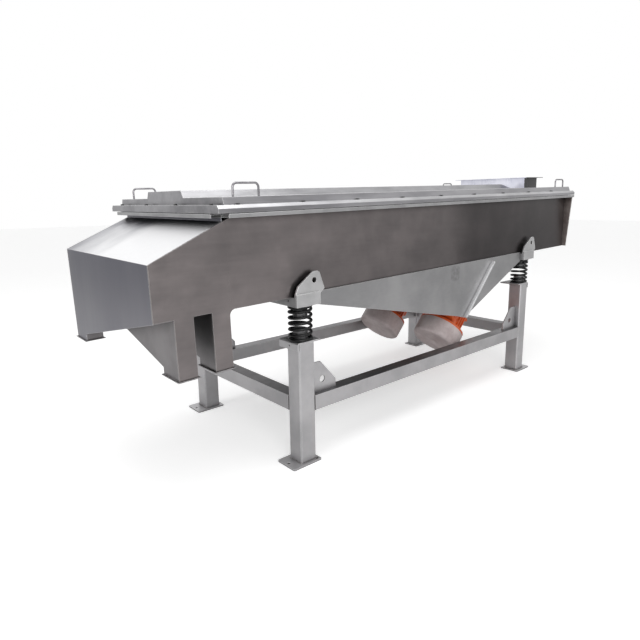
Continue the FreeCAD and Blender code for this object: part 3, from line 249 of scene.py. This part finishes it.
# ---------------------------------------------------------------- base frame
# Posts, rails and end beams of square stainless tube with foot plates, spring
# seats and tie lugs of plate, welded and then blasted to an even satin grey.
def satin_steel(name, dark, pale, roughness, metallic, blotch, grain, edge_highlight=0.5, top=None, reach=0.10):
    """Blasted or brushed sheet: soft blotches, fine grain, painted shade in slots and corners, a painted
    highlight along the edges and, when top is given, a painted tone on upward faces.
    """
    finish = Finish(name, metallic=metallic)
    place = finish.place()
    cloud = finish.noise(place, blotch, 4.0, 0.6).ramp(0.3, 0.7)
    fine = finish.noise(place.stretch(*grain), 1.0, 4.0, 0.7)
    shade = (cloud * 0.65 + fine * 0.35).mix(dark, pale)
    # When a top colour is given, upward faces take it: painted light or shade by facing, not a colour of
    # the steel.
    if top:
        shade = (finish.facing("Z").ramp(0.6, 0.95) * (0.75 + cloud * 0.25)).mix(shade, top)
    # Painted shade: slots, folds and inner corners darken towards a deep grey.
    shade = finish.recess_shade(reach).ramp(0.15, 0.8).mix(tuple(part * 0.28 for part in dark), shade)
    # Painted highlight: edges are lightened towards a bright colour as if they caught the light; the
    # wear/edge_highlight argument sets how much.
    edge = finish.edges(0.004, 0.02, 0.25)
    bright = tuple(min(1.0, part * 1.6 + 0.12) for part in pale)
    finish.feed("Base Color", (edge * edge_highlight).mix(shade, bright))
    finish.feed("Roughness", roughness - 0.06 + fine * 0.10 + cloud * 0.04)
    finish.bump(fine, 0.0004, 0.25, 0.003)
    return finish


def dress(finish, *names):
    """Give CAD nodes this finish."""
    for name in names:
        for place in nodes[name].material_slots:
            place.material = finish.material


frame_steel = satin_steel(
    "blasted_frame_steel",
    dark=(0.40, 0.395, 0.405),
    pale=(0.56, 0.55, 0.56),
    roughness=0.42,
    metallic=0.85,
    blotch=5.0,
    grain=(260, 260, 60),
)
# The rails' upward faces get a dark top colour: painted shade.
rail_steel = satin_steel(
    "blasted_rail_steel",
    dark=(0.38, 0.375, 0.385),
    pale=(0.54, 0.53, 0.54),
    roughness=0.38,
    metallic=0.85,
    blotch=5.0,
    grain=(30, 260, 260),
    top=(0.12, 0.115, 0.12),
)
corners = [end + "_" + side for end in ("discharge", "feed") for side in ("front", "rear")]
for corner in corners:
    dress(frame_steel, corner + "_post", corner + "_foot_plate", corner + "_spring_seat")
dress(rail_steel, "front_side_rail", "rear_side_rail", "discharge_end_beam", "feed_end_beam")
dress(frame_steel, "tie_lugs")

# ---------------------------------------------------------------- coil springs
# Four cold-wound springs of 15 mm round wire with closed ground ends, coated
# gloss black.  They sit between the posts' seats and the caps of the cross beams.
WIRE_RADIUS = 0.0075
COIL_RADIUS = 0.0555
COIL_TURNS = 7.0
TURN_STEPS = 48
WIRE_POINTS = 16
CLOSED_TURNS = 0.9
CLOSED_PITCH = WIRE_RADIUS * 2 * 0.97

spring_coat = Finish("gloss_black_spring_coat", roughness=0.3, Specular_IOR_Level=0.25, Coat_Weight=0.08,
                     Coat_Roughness=0.2)
dust = spring_coat.noise(spring_coat.place(), 45.0, 5.0, 0.7)
spring_coat.feed("Base Color", dust.ramp(0.5, 0.85).mix((0.004, 0.004, 0.0045), (0.022, 0.021, 0.021)))
spring_coat.feed("Roughness", 0.22 + dust * 0.2)
spring_coat.bump(dust, 0.0003, 0.3, 0.001)


def coil_height(turn, length):
    """Height of the wire's centre after this many turns: closed, open, closed."""
    open_turns = COIL_TURNS - 2 * CLOSED_TURNS
    closed_rise = CLOSED_PITCH * CLOSED_TURNS
    open_rise = length - 2 * closed_rise
    if turn < CLOSED_TURNS:
        return closed_rise * turn / CLOSED_TURNS
    if turn > COIL_TURNS - CLOSED_TURNS:
        return length - closed_rise * (COIL_TURNS - turn) / CLOSED_TURNS
    return closed_rise + open_rise * (turn - CLOSED_TURNS) / open_turns


for corner in corners:
    low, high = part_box(corner + "_spring")
    middle = (low + high) / 2
    bpy.ops.object.select_all(action="DESELECT")
    bpy.ops.mesh.primitive_circle_add(vertices=WIRE_POINTS, radius=WIRE_RADIUS,
                                      location=(COIL_RADIUS, 0, 0), rotation=(math.pi / 2, 0, 0))
    coil = bpy.context.object
    coil.name = corner + "_coil"
    bpy.ops.object.transform_apply(location=True, rotation=True, scale=True)
    screw = coil.modifiers.new("wind", "SCREW")
    screw.angle = 2 * math.pi * COIL_TURNS
    screw.steps = screw.render_steps = int(TURN_STEPS * COIL_TURNS)
    screw.axis = "Z"
    screw.use_merge_vertices = False
    bpy.ops.object.modifier_apply(modifier="wind")
    span = high.z - low.z
    rings = len(coil.data.vertices) // WIRE_POINTS
    for index, vertex in enumerate(coil.data.vertices):
        turn = COIL_TURNS * (index // WIRE_POINTS) / (rings - 1)
        vertex.co.z += low.z + coil_height(turn, span)
        vertex.co.x += middle.x
        vertex.co.y += middle.y
    bpy.ops.object.mode_set(mode="EDIT")
    for height, under in ((low.z, True), (high.z, False)):
        bpy.ops.mesh.select_all(action="SELECT")
        bpy.ops.mesh.bisect(plane_co=(0, 0, height), plane_no=(0, 0, 1), use_fill=True,
                            clear_inner=under, clear_outer=not under)
    bpy.ops.mesh.select_all(action="SELECT")
    bpy.ops.mesh.normals_make_consistent(inside=False)
    bpy.ops.object.mode_set(mode="OBJECT")
    bpy.ops.object.shade_smooth_by_angle(angle=math.radians(40))
    coil.data.materials.append(spring_coat.material)
    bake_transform(coil)
    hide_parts(corner + "_spring")

# ---------------------------------------------------------------- carrying beams
# Folded channels under the box with a drilled side, a round cap for each spring
# and a thick end plate with its lifting lug, all satin like the base frame.
beam_steel = satin_steel(
    "satin_beam_steel",
    dark=(0.30, 0.30, 0.305),
    pale=(0.45, 0.445, 0.45),
    roughness=0.40,
    metallic=0.85,
    blotch=6.0,
    grain=(260, 60, 260),
)
dress(beam_steel, "discharge_cross_beam", "feed_cross_beam")
bracket_steel = satin_steel(
    "bright_bracket_steel",
    dark=(0.42, 0.42, 0.425),
    pale=(0.58, 0.575, 0.58),
    roughness=0.36,
    metallic=0.85,
    blotch=8.0,
    grain=(60, 260, 260),
    edge_highlight=0.8,
)
for corner in corners:
    dress(bracket_steel, corner + "_corner_bracket")

# ---------------------------------------------------------------- screening box
# Long side plates of 6 mm stainless sheet in rolled finish, with the grain along the box,
# a painted sheen that goes darker towards the feed end, painted shade in corners and painted highlights
# on the edges.
INCLINE = math.radians(1.25)
LIFT = 0.909167


def tilted(x, y, z):
    """A place given in the box's own inclined frame, in the machine's frame."""
    return Vector((x * math.cos(INCLINE) - z * math.sin(INCLINE), y,
                   LIFT + x * math.sin(INCLINE) + z * math.cos(INCLINE)))


side_steel = Finish("rolled_side_sheet", metallic=0.9)
place = side_steel.place()
lengthways = side_steel.along("X")
cloud = side_steel.noise(place.stretch(0.9, 1, 2.0), 2.4, 4.0, 0.6).ramp(0.32, 0.70)
patch = side_steel.noise(place.stretch(1.5, 1, 1.0), 5.0, 3.0, 0.5).ramp(0.35, 0.75)
streak = side_steel.noise(place.stretch(2.0, 60, 60), 1.0, 5.0, 0.65)
# Painted reflection: a sheen that is light at the discharge end and goes dark towards the feed end, with
# a soft step near the middle.
long_fade = (lengthways + cloud * 0.22).ramp(-1.7, 1.0)
near_fade = (lengthways + patch * 0.10).ramp(0.10, 0.42)
fade = long_fade * 0.55 + near_fade * 0.45
painted_sheen = fade.mix((0.215, 0.196, 0.196), (0.058, 0.052, 0.053))
mottled = (cloud * 0.45 + streak * 0.25 + patch * 0.3).mix((0.72, 0.72, 0.72), (1.30, 1.27, 1.26))
tinted = side_steel.node("ShaderNodeMix", {"data_type": "RGBA", "blend_type": "MULTIPLY"},
                         {0: 1.0, 6: painted_sheen, 7: mottled}, 2)
# Painted shade: slots and corners darken towards near black.
with_painted_recess_shade = side_steel.recess_shade(0.10).ramp(0.2, 0.75).mix((0.02, 0.018, 0.018), tinted)
# Painted highlight: the edges are lightened towards a pale grey.
edge_highlight_mask = side_steel.edges(0.005, 0.02, 0.25)
side_steel.feed("Base Color", (edge_highlight_mask * 0.7).mix(with_painted_recess_shade, (0.62, 0.61, 0.60)))
side_steel.feed("Roughness", 0.24 + streak * 0.12 + cloud * 0.06)
side_steel.bump(streak, 0.0004, 0.2, 0.003)
dress(side_steel, "front_side_plate", "rear_side_plate")

# Discharge hood: blue-grey sheet with the grain upright and soft upright bands, its front darker towards
# the top, a painted near-white reflection on the sloping top, painted shade in corners and painted
# highlights on the edges.
hood_steel = Finish("brushed_hood_sheet", metallic=0.9)
place = hood_steel.place()
across = hood_steel.along("Y")
height = hood_steel.along("Z")
band = hood_steel.noise(place.stretch(1.2, 1.6, 0.5), 2.0, 3.0, 0.5).ramp(0.3, 0.72)
grain = hood_steel.noise(place.stretch(60, 60, 3.0), 1.0, 5.0, 0.65)
lowness = (height + band * 0.08).ramp(0.80, 1.16)
nearness = (across + band * 0.25).ramp(0.0, 0.75)
front = (band * 0.4 + grain * 0.2 + (1 - lowness) * 0.4).mix((0.105, 0.105, 0.138), (0.245, 0.24, 0.265))
# Painted reflection for the sloping top: near white on the near side, greying towards the far side and
# the top edge.
slope_painted_reflection = (nearness + grain * 0.1 + (height + across * 0.05 + band * 0.03).ramp(1.22, 1.30) * 0.6).mix(
    (0.95, 0.95, 0.96), (0.24, 0.24, 0.27))
# Upward faces take the painted reflection and the other faces take the front colour.
lit = hood_steel.facing("Z").ramp(0.2, 0.6).mix(front, slope_painted_reflection)
# Painted shade: slots and corners darken towards near black.
with_painted_recess_shade = hood_steel.recess_shade(0.08).ramp(0.2, 0.7).mix((0.05, 0.05, 0.06), lit)
# Painted highlight: the edges are lightened towards a pale grey.
edge_highlight_mask = hood_steel.edges(0.005, 0.02, 0.25)
hood_steel.feed("Base Color", (edge_highlight_mask * 0.7).mix(with_painted_recess_shade, (0.78, 0.78, 0.78)))
hood_steel.feed("Roughness", 0.25 + grain * 0.12)
hood_steel.bump(grain, 0.0004, 0.2, 0.003)
dress(hood_steel, "discharge_hood")

# The chutes' painted shade reaches further, so the slot between them comes out near black.
chute_steel = satin_steel(
    "brushed_chute_sheet",
    dark=(0.15, 0.142, 0.146),
    pale=(0.28, 0.265, 0.27),
    roughness=0.34,
    metallic=0.9,
    blotch=4.0,
    grain=(90, 90, 8),
    edge_highlight=0.8,
    reach=0.16,
)
dress(chute_steel, "fines_chute", "middle_chute", "oversize_chute", "discharge_trays")
pan_steel = satin_steel(
    "plain_pan_sheet",
    dark=(0.20, 0.20, 0.20),
    pale=(0.34, 0.34, 0.34),
    roughness=0.38,
    metallic=0.85,
    blotch=4.0,
    grain=(20, 200, 200),
)
dress(pan_steel, "bottom_pan", "deck_rails")
end_steel = satin_steel(
    "heat_tinted_end_sheet",
    dark=(0.30, 0.24, 0.22),
    pale=(0.62, 0.56, 0.53),
    roughness=0.34,
    metallic=0.9,
    blotch=14.0,
    grain=(200, 200, 20),
    edge_highlight=0.9,
)
dress(end_steel, "feed_end_plate")

# ---------------------------------------------------------------- decks
# Two screens of woven stainless wire, each glued on a welded tube frame with
# cross bars.  The frames lie on angle bars along the inside of the side plates.
deck_steel = satin_steel(
    "deck_frame_steel",
    dark=(0.30, 0.30, 0.30),
    pale=(0.45, 0.45, 0.45),
    roughness=0.4,
    metallic=0.85,
    blotch=6.0,
    grain=(200, 200, 200),
)
dress(deck_steel, "upper_deck_frame", "lower_deck_frame")
MESH_PITCH = 0.004
cloth = Finish("woven_screen_cloth", roughness=0.4, metallic=0.9)
place = cloth.place()
warp = cloth.node("ShaderNodeTexWave", {"wave_profile": "SIN", "bands_direction": "X"},
                  {"Vector": place, "Scale": 0.314 / MESH_PITCH})
weft = cloth.node("ShaderNodeTexWave", {"wave_profile": "SIN", "bands_direction": "Y"},
                  {"Vector": place, "Scale": 0.314 / MESH_PITCH})
weave = warp * weft
cloth.feed("Base Color", weave.mix((0.06, 0.06, 0.06), (0.55, 0.55, 0.55)))
cloth.bump(weave, 0.0006, 0.6, 0.001)
dress(cloth, "upper_deck_mesh", "lower_deck_mesh")

# ---------------------------------------------------------------- rim and cover
# A welded angle rim round the box's top, a strip of black rubber on it, and a
# pressed cover of polished sheet that is bolted down through all three.
rim_steel = satin_steel(
    "ground_rim_steel",
    dark=(0.26, 0.26, 0.265),
    pale=(0.42, 0.42, 0.425),
    roughness=0.34,
    metallic=0.9,
    blotch=6.0,
    grain=(30, 200, 200),
    edge_highlight=0.9,
)
dress(rim_steel, "top_rim")
rubber = Finish("black_gasket_rubber", roughness=0.6)
speck = rubber.noise(rubber.place(), 120.0, 3.0)
rubber.feed("Base Color", speck.mix((0.012, 0.012, 0.012), (0.035, 0.034, 0.033)))
rubber.bump(speck, 0.0004, 0.4, 0.001)
dress(rubber, "rim_gasket")

cover_steel = Finish("polished_cover_sheet", metallic=0.9)
place = cover_steel.place()
flat = cover_steel.facing("Z")
cloud = cover_steel.noise(place.stretch(0.6, 2, 2), 2.5, 4.0, 0.6).ramp(0.3, 0.7)
grain = cover_steel.noise(place.stretch(3.0, 90, 90), 1.0, 4.0, 0.6)
# Painted light by facing: the steep sides (rolled) are darkest, the bevel lighter, and the flat top
# (top) lightest.
rolled = (cloud * 0.6 + grain * 0.4).mix((0.16, 0.158, 0.168), (0.40, 0.395, 0.41))
bevel = (cloud * 0.7 + grain * 0.3).mix((0.24, 0.238, 0.25), (0.62, 0.62, 0.63))
top = (cloud * 0.5 + grain * 0.5).mix((0.56, 0.56, 0.565), (0.74, 0.74, 0.745))
shade = flat.ramp(0.35, 0.6).mix(rolled, bevel)
shade = (flat.ramp(0.93, 0.98) * cover_steel.along("Z").ramp(1.33, 1.36)).mix(shade, top)
# Painted shade: under the rim and in folds the cover darkens towards near black.
shade = cover_steel.recess_shade(0.05).ramp(0.25, 0.75).mix((0.07, 0.07, 0.075), shade)
# Painted highlight: the edges are lightened towards a pale grey.
edge_highlight_mask = cover_steel.edges(0.004, 0.02, 0.25)
cover_steel.feed("Base Color", (edge_highlight_mask * 0.6).mix(shade, (0.88, 0.88, 0.88)))
cover_steel.feed("Roughness", 0.25 + grain * 0.12)
cover_steel.bump(grain, 0.0004, 0.2, 0.003)
dress(cover_steel, "cover_shell")

# The square feed inlet: a painted mirror-bright reflection with a blue tint towards the discharge end,
# and painted shade, near black, on its outer sides.
inlet_steel = Finish("bright_inlet_sheet", metallic=0.9)
cloud = inlet_steel.noise(inlet_steel.place(), 5.0, 3.0, 0.6).ramp(0.3, 0.7)
grain = inlet_steel.noise(inlet_steel.place().stretch(60, 60, 6), 1.0, 4.0, 0.6)
sideways = inlet_steel.facing("Y")
bright = (cloud * 0.6 + grain * 0.4).mix((0.50, 0.51, 0.62), (0.85, 0.85, 0.92))
dull = (cloud * 0.5 + grain * 0.5).mix((0.018, 0.018, 0.02), (0.06, 0.058, 0.06))
aside = inlet_steel.along("Y")
# Faces that point sideways on the inlet's outer sides take the painted shade; all other faces take the
# painted reflection.
outer_side_shade_mask = (sideways * sideways).ramp(0.4, 0.8) * (aside * aside).ramp(0.0915, 0.0922)
inlet_steel.feed("Base Color", outer_side_shade_mask.mix(bright, dull))
inlet_steel.feed("Roughness", 0.22 + grain * 0.14)
inlet_steel.bump(grain, 0.0004, 0.2, 0.002)
dress(inlet_steel, "feed_inlet")

# Dull hexagon bolts through the cover's shelf and the flange, each with its nut below.
bolt_steel = satin_steel(
    "dull_bolt_steel",
    dark=(0.05, 0.05, 0.05),
    pale=(0.12, 0.12, 0.12),
    roughness=0.4,
    metallic=0.8,
    blotch=40.0,
    grain=(300, 300, 300),
    edge_highlight=0.3,
)
dress(bolt_steel, "cover_bolts")

# Four bow handles bent from 10 mm round bar, welded upright on the cover's sides.
ROD_RADIUS = 0.0052
BEND_RADIUS = 0.020
BEND_STEPS = 8
handle_steel = satin_steel(
    "polished_handle_bar",
    dark=(0.16, 0.155, 0.165),
    pale=(0.34, 0.33, 0.345),
    roughness=0.25,
    metallic=0.9,
    blotch=30.0,
    grain=(300, 300, 40),
    edge_highlight=0.0,
)
HANDLE_HALF = 0.066
HANDLE_RISE = 0.058
HANDLE_SIDE = 0.540
COVER_TOP = 0.487
ROD_SUNK = 0.004
for end_name, along in (("discharge", -1.395), ("feed", 1.590)):
    for side_name, side in (("front", -1), ("rear", 1)):
        line = bpy.data.curves.new("handle_line", "CURVE")
        line.dimensions = "3D"
        line.bevel_depth = ROD_RADIUS
        line.bevel_resolution = 4
        line.use_fill_caps = True
        points = [(-HANDLE_HALF, -ROD_SUNK)]
        for step in range(BEND_STEPS + 1):
            turn = math.pi / 2 * step / BEND_STEPS
            points.append((-HANDLE_HALF + BEND_RADIUS * (1 - math.cos(turn)),
                           HANDLE_RISE - BEND_RADIUS * (1 - math.sin(turn))))
        points += [(-x, z) for x, z in reversed(points)]
        spline = line.splines.new("POLY")
        spline.points.add(len(points) - 1)
        for point, (x, z) in zip(spline.points, points):
            point.co = (*tilted(along + x, side * HANDLE_SIDE, COVER_TOP + z), 1)
        bow = bpy.data.objects.new("%s_%s_handle" % (end_name, side_name), line)
        bpy.context.scene.collection.objects.link(bow)
        bpy.ops.object.select_all(action="DESELECT")
        bow.select_set(True)
        bpy.context.view_layer.objects.active = bow
        bpy.ops.object.convert(target="MESH")
        bow = bpy.context.object
        bpy.ops.object.shade_smooth_by_angle(angle=math.radians(40))
        bow.data.materials.append(handle_steel.material)
        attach(bow, "screening_box")
        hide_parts("cover_handles")

# ---------------------------------------------------------------- motor frame
# Two V-shaped plates of 12 mm steel under the box, tied by square tubes, that
# carry the bright inclined mounting plate of the motors.
vee_sheet = {
    "dark": (0.26, 0.26, 0.265),
    "pale": (0.40, 0.395, 0.40),
    "roughness": 0.40,
    "metallic": 0.85,
    "blotch": 3.0,
    "grain": (20, 200, 200),
    "edge_highlight": 0.8,
}
vee_steel = satin_steel("satin_motor_frame_sheet", **vee_sheet)
dress(vee_steel, "rear_motor_frame_plate", "frame_cross_tubes")

# The front one has a rubbed, blotchy patch near its top edge.
STAIN_MIDDLE = tilted(0.177, 0, -0.046)
STAIN_HALF = 0.050
stained = satin_steel("rubbed_motor_frame_sheet", **vee_sheet)
off_x = (stained.along("X") - STAIN_MIDDLE.x) * (1 / STAIN_HALF)
off_z = (stained.along("Z") - STAIN_MIDDLE.z) * (1 / STAIN_HALF)
blot = stained.noise(stained.place(), 45.0, 3.0, 0.6)
ring = off_x * off_x * off_x * off_x + off_z * off_z * off_z * off_z + blot * 0.6
share = (1 - ring.ramp(0.9, 1.5)) * blot.ramp(0.25, 0.7)
clean = Wire(stained, stained.shader.inputs["Base Color"].links[0].from_socket)
stained.feed("Base Color", (share * 0.7).mix(clean, (0.20, 0.195, 0.20)))
dress(stained, "front_motor_frame_plate")
plate_steel = satin_steel(
    "bright_mounting_plate",
    dark=(0.60, 0.60, 0.61),
    pale=(0.82, 0.82, 0.83),
    roughness=0.32,
    metallic=0.9,
    blotch=10.0,
    grain=(80, 80, 80),
    edge_highlight=0.9,
    reach=0.03,
)
dress(plate_steel, "motor_mounting_plate")

# ---------------------------------------------------------------- vibration motors
# Cast housings in orange-red enamel with pressed end covers in a pale warm grey,
# bolted to the mounting plate at its lean.  Inside are the stators and rotors.
enamel = Finish("orange_red_enamel", roughness=0.36, Coat_Weight=0.25, Coat_Roughness=0.2)
cloud = enamel.noise(enamel.place(), 9.0, 5.0, 0.65)
pit = enamel.noise(enamel.place(), 90.0, 4.0, 0.6)
# Painted highlight: the housing's edges are lightened towards a pale orange.
painted_edge_highlight = enamel.edges(0.004, 0.05, 0.35)
colour = cloud.ramp(0.3, 0.7).mix((0.58, 0.075, 0.012), (0.72, 0.13, 0.025))
enamel.feed("Base Color", (painted_edge_highlight * 0.35).mix(colour, (0.85, 0.35, 0.15)))
enamel.feed("Roughness", 0.30 + pit * 0.2)
enamel.bump(pit, 0.0006, 0.4, 0.003)
dress(enamel, "front_motor_housing", "rear_motor_housing")

# End covers: deep-drawn cups with a rounded rim edge and a small drain bung.
CUP_RADIUS = 0.165
CUP_DEPTH = 0.124
CUP_WALL = 0.004
CUP_EDGE = 0.020
BUNG_RADIUS = 0.008
BUNG_DISH = 0.0015
BUNG_LIP = 0.0006
BUNG_SLIT = 0.0004
BUNG_SINK = 0.003
MOTOR_LENGTH = 0.596
MOTOR_LEAN = math.radians(46)
MOTOR_LOW_X = 0.3145
MOTOR_OFFSET = 0.274
MOTOR_LOW_DROP = 0.591

cover_paint = Finish("pale_motor_cover_paint", roughness=0.45)
cloud = cover_paint.noise(cover_paint.place(), 9.0, 5.0, 0.7)
pit = cover_paint.noise(cover_paint.place(), 70.0, 5.0, 0.65)
# Painted highlight: the cover's edges are lightened towards a pale warm grey.
painted_edge_highlight = cover_paint.edges(0.006, 0.02, 0.3)
colour = (cloud.ramp(0.32, 0.68) * 0.6 + pit * 0.4).mix((0.42, 0.34, 0.335), (0.68, 0.60, 0.595))
cover_paint.feed("Base Color", (painted_edge_highlight * 0.5).mix(colour, (0.78, 0.73, 0.72)))
cover_paint.feed("Roughness", 0.36 + pit * 0.25)
cover_paint.bump(pit, 0.0006, 0.35, 0.001)


def pick_faces(piece, wanted):
    """Select the faces whose direction passes a test, in edit mode."""
    bpy.ops.object.mode_set(mode="OBJECT")
    for face in piece.data.polygons:
        face.select = wanted(face.normal)
    for edge in piece.data.edges:
        edge.select = False
    for vertex in piece.data.vertices:
        vertex.select = False
    bpy.ops.object.mode_set(mode="EDIT")
    bpy.ops.mesh.select_mode(type="FACE")


for side_name, side in (("front", -1), ("rear", 1)):
    for end_name, distance, outward in (("low", 0.0, -1), ("high", MOTOR_LENGTH, 1)):
        bpy.ops.object.select_all(action="DESELECT")
        bpy.ops.mesh.primitive_cylinder_add(vertices=72, radius=CUP_RADIUS, depth=CUP_DEPTH,
                                            location=(0, 0, -CUP_DEPTH / 2))
        cup = bpy.context.object
        cup.name = "%s_motor_%s_cover" % (side_name, end_name)
        bpy.ops.object.transform_apply(location=True, rotation=True, scale=True)
        pick_faces(cup, lambda normal: normal.z > 0.99)
        bpy.ops.mesh.bevel(offset=CUP_EDGE, segments=6, affect="EDGES")
        pick_faces(cup, lambda normal: normal.z > 0.999)
        bpy.ops.mesh.inset(thickness=CUP_RADIUS - CUP_EDGE - BUNG_RADIUS * 2.2)
        bpy.ops.mesh.inset(thickness=BUNG_RADIUS * 1.1, depth=-BUNG_DISH)
        bpy.ops.mesh.inset(thickness=BUNG_LIP)
        bpy.ops.mesh.inset(thickness=BUNG_SLIT, depth=-BUNG_SINK)
        pick_faces(cup, lambda normal: normal.z < -0.99)
        bpy.ops.mesh.delete(type="FACE")
        bpy.ops.object.mode_set(mode="OBJECT")
        shell = cup.modifiers.new("wall", "SOLIDIFY")
        shell.thickness = CUP_WALL
        shell.offset = -1
        bpy.ops.object.modifier_apply(modifier="wall")
        axis = (tilted(math.cos(MOTOR_LEAN), 0, math.sin(MOTOR_LEAN)) - tilted(0, 0, 0)) * outward
        foot = tilted(MOTOR_LOW_X + distance * math.cos(MOTOR_LEAN), MOTOR_OFFSET * side,
                      -MOTOR_LOW_DROP + distance * math.sin(MOTOR_LEAN))
        cup.rotation_euler = axis.to_track_quat("Z", "Y").to_euler()
        cup.location = foot
        bpy.ops.object.transform_apply(location=True, rotation=True, scale=True)
        bpy.ops.object.shade_smooth_by_angle(angle=math.radians(35))
        cup.data.materials.append(cover_paint.material)
        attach(cup, "screening_box")
        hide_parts("motor_end_covers")

copper = Finish("varnished_stator", roughness=0.5, metallic=0.4)
layers = copper.noise(copper.place().stretch(300, 4, 300), 1.0)
copper.feed("Base Color", layers.mix((0.10, 0.07, 0.05), (0.28, 0.15, 0.08)))
dress(copper, "motor_stators")
iron = satin_steel(
    "flame_cut_weight_iron",
    dark=(0.10, 0.10, 0.10),
    pale=(0.20, 0.195, 0.19),
    roughness=0.55,
    metallic=0.6,
    blotch=14.0,
    grain=(120, 120, 120),
)
dress(iron, "front_eccentric_weights", "rear_eccentric_weights")
bright_steel = satin_steel(
    "bright_fastener_steel",
    dark=(0.30, 0.30, 0.30),
    pale=(0.5, 0.5, 0.5),
    roughness=0.3,
    metallic=0.9,
    blotch=40.0,
    grain=(300, 300, 300),
    edge_highlight=0.8,
)
dress(bright_steel, "motor_bearings", "front_rotor_shaft", "rear_rotor_shaft")

# ---------------------------------------------------------------- weld beads
# Rippled beads left by hand welding: bright along the hood's corners and the
# joints of the base frame, with a faint straw tint from the heat.
BEAD_POINTS = 8
weld_metal = Finish("rippled_weld_metal", metallic=0.9)
tint = weld_metal.noise(weld_metal.place(), 18.0, 3.0, 0.6).ramp(0.35, 0.7)
spatter = weld_metal.noise(weld_metal.place(), 160.0, 3.0, 0.6)
weld_metal.feed("Base Color", (tint * 0.6 + spatter * 0.4).mix((0.55, 0.53, 0.52), (0.85, 0.83, 0.81)))
weld_metal.feed("Roughness", 0.28 + spatter * 0.2)
weld_metal.bump(spatter, 0.0005, 0.4, 0.001)


def weld_bead(start, end, radius):
    """One straight bead of repeated ripples between two places."""
    run = (end - start).length
    count = max(2, round(run / (radius * 1.8)))
    bpy.ops.object.select_all(action="DESELECT")
    bpy.ops.mesh.primitive_circle_add(vertices=BEAD_POINTS, radius=radius * 0.8)
    bead = bpy.context.object
    bpy.ops.object.mode_set(mode="EDIT")
    bpy.ops.mesh.select_all(action="SELECT")
    for widen, share in ((1.25, 0.35), (0.8, 0.65)):
        step = (0, 0, run / count * share)
        bpy.ops.mesh.extrude_region_move(TRANSFORM_OT_translate={"value": step})
        bpy.ops.transform.resize(value=(widen, widen, 1))
    bpy.ops.object.mode_set(mode="OBJECT")
    ripples = bead.modifiers.new("ripples", "ARRAY")
    ripples.count = count
    ripples.use_relative_offset = False
    ripples.use_constant_offset = True
    ripples.constant_offset_displace = (0, 0, run / count)
    ripples.use_merge_vertices = True
    ripples.merge_threshold = 0.00005
    bpy.ops.object.modifier_apply(modifier="ripples")
    bpy.ops.object.mode_set(mode="EDIT")
    bpy.ops.mesh.select_all(action="SELECT")
    bpy.ops.mesh.fill_holes(sides=0)
    bpy.ops.mesh.normals_make_consistent(inside=False)
    bpy.ops.object.mode_set(mode="OBJECT")
    bead.rotation_euler = (end - start).to_track_quat("Z", "Y").to_euler()
    bead.location = start
    bpy.ops.object.transform_apply(location=True, rotation=True, scale=True)
    return bead


def weld_group(name, body, lines, radius):
    """Several beads joined into one piece that rides on a body."""
    beads = [weld_bead(Vector(start), Vector(end), radius) for start, end in lines]
    bpy.ops.object.select_all(action="DESELECT")
    for bead in beads:
        bead.select_set(True)
    bpy.context.view_layer.objects.active = beads[0]
    if len(beads) > 1:
        bpy.ops.object.join()
    piece = bpy.context.object
    piece.name = name
    bpy.ops.object.shade_smooth_by_angle(angle=math.radians(50))
    piece.data.materials.append(weld_metal.material)
    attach(piece, body)


def round_of(*ring):
    """The lines that join each place of a ring to the next."""
    return [(place, ring[(number + 1) % len(ring)]) for number, place in enumerate(ring)]


HOOD_END = -1.857
HOOD_FRONT_HEIGHT = 0.236
SLOPE_RUN = 0.355
SLOPE_TOP = 0.391
SEAM_PLACE = -1.502
SEAM_TOP = 0.388
SEAM_FOOT = 0.010
HOOD_FOOT = 0.002
BOX_SIDE = 0.5295
HOOD_BEAD = 0.0030
SEAM_BEAD = 0.0012
FOOT_BEAD = 0.0040
FOOT_BEAD_RISE = 0.002
JOINT_BEAD = 0.0035
hood_lines = []
seam_lines = []
for side in (-1, 1):
    y = BOX_SIDE * side
    shoulder = tilted(HOOD_END, y, HOOD_FRONT_HEIGHT)
    hood_lines.append((tilted(HOOD_END, y, HOOD_FOOT), shoulder))
    hood_lines.append((shoulder, tilted(HOOD_END + SLOPE_RUN, y, SLOPE_TOP)))
    seam_lines.append((tilted(SEAM_PLACE, y, SEAM_FOOT), tilted(SEAM_PLACE, y, SEAM_TOP)))
weld_group("hood_corner_welds", "screening_box", hood_lines, HOOD_BEAD)
weld_group("side_seam_welds", "screening_box", seam_lines, SEAM_BEAD)

for corner in corners:
    low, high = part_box(corner + "_post")
    z = low.z + FOOT_BEAD_RISE
    foot_lines = round_of((low.x, low.y, z), (high.x, low.y, z), (high.x, high.y, z), (low.x, high.y, z))
    weld_group(corner + "_foot_welds", "base_frame", foot_lines, FOOT_BEAD)
joint_lines = []
for name in ("front_side_rail", "rear_side_rail"):
    low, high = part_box(name)
    for x in (low.x, high.x):
        joint_lines += round_of((x, low.y, low.z), (x, high.y, low.z), (x, high.y, high.z),
                                (x, low.y, high.z))
for name in ("discharge_end_beam", "feed_end_beam"):
    low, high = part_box(name)
    for y in (low.y, high.y):
        joint_lines += round_of((low.x, y, low.z), (high.x, y, low.z), (high.x, y, high.z),
                                (low.x, y, high.z))
weld_group("frame_joint_welds", "base_frame", joint_lines, JOINT_BEAD)
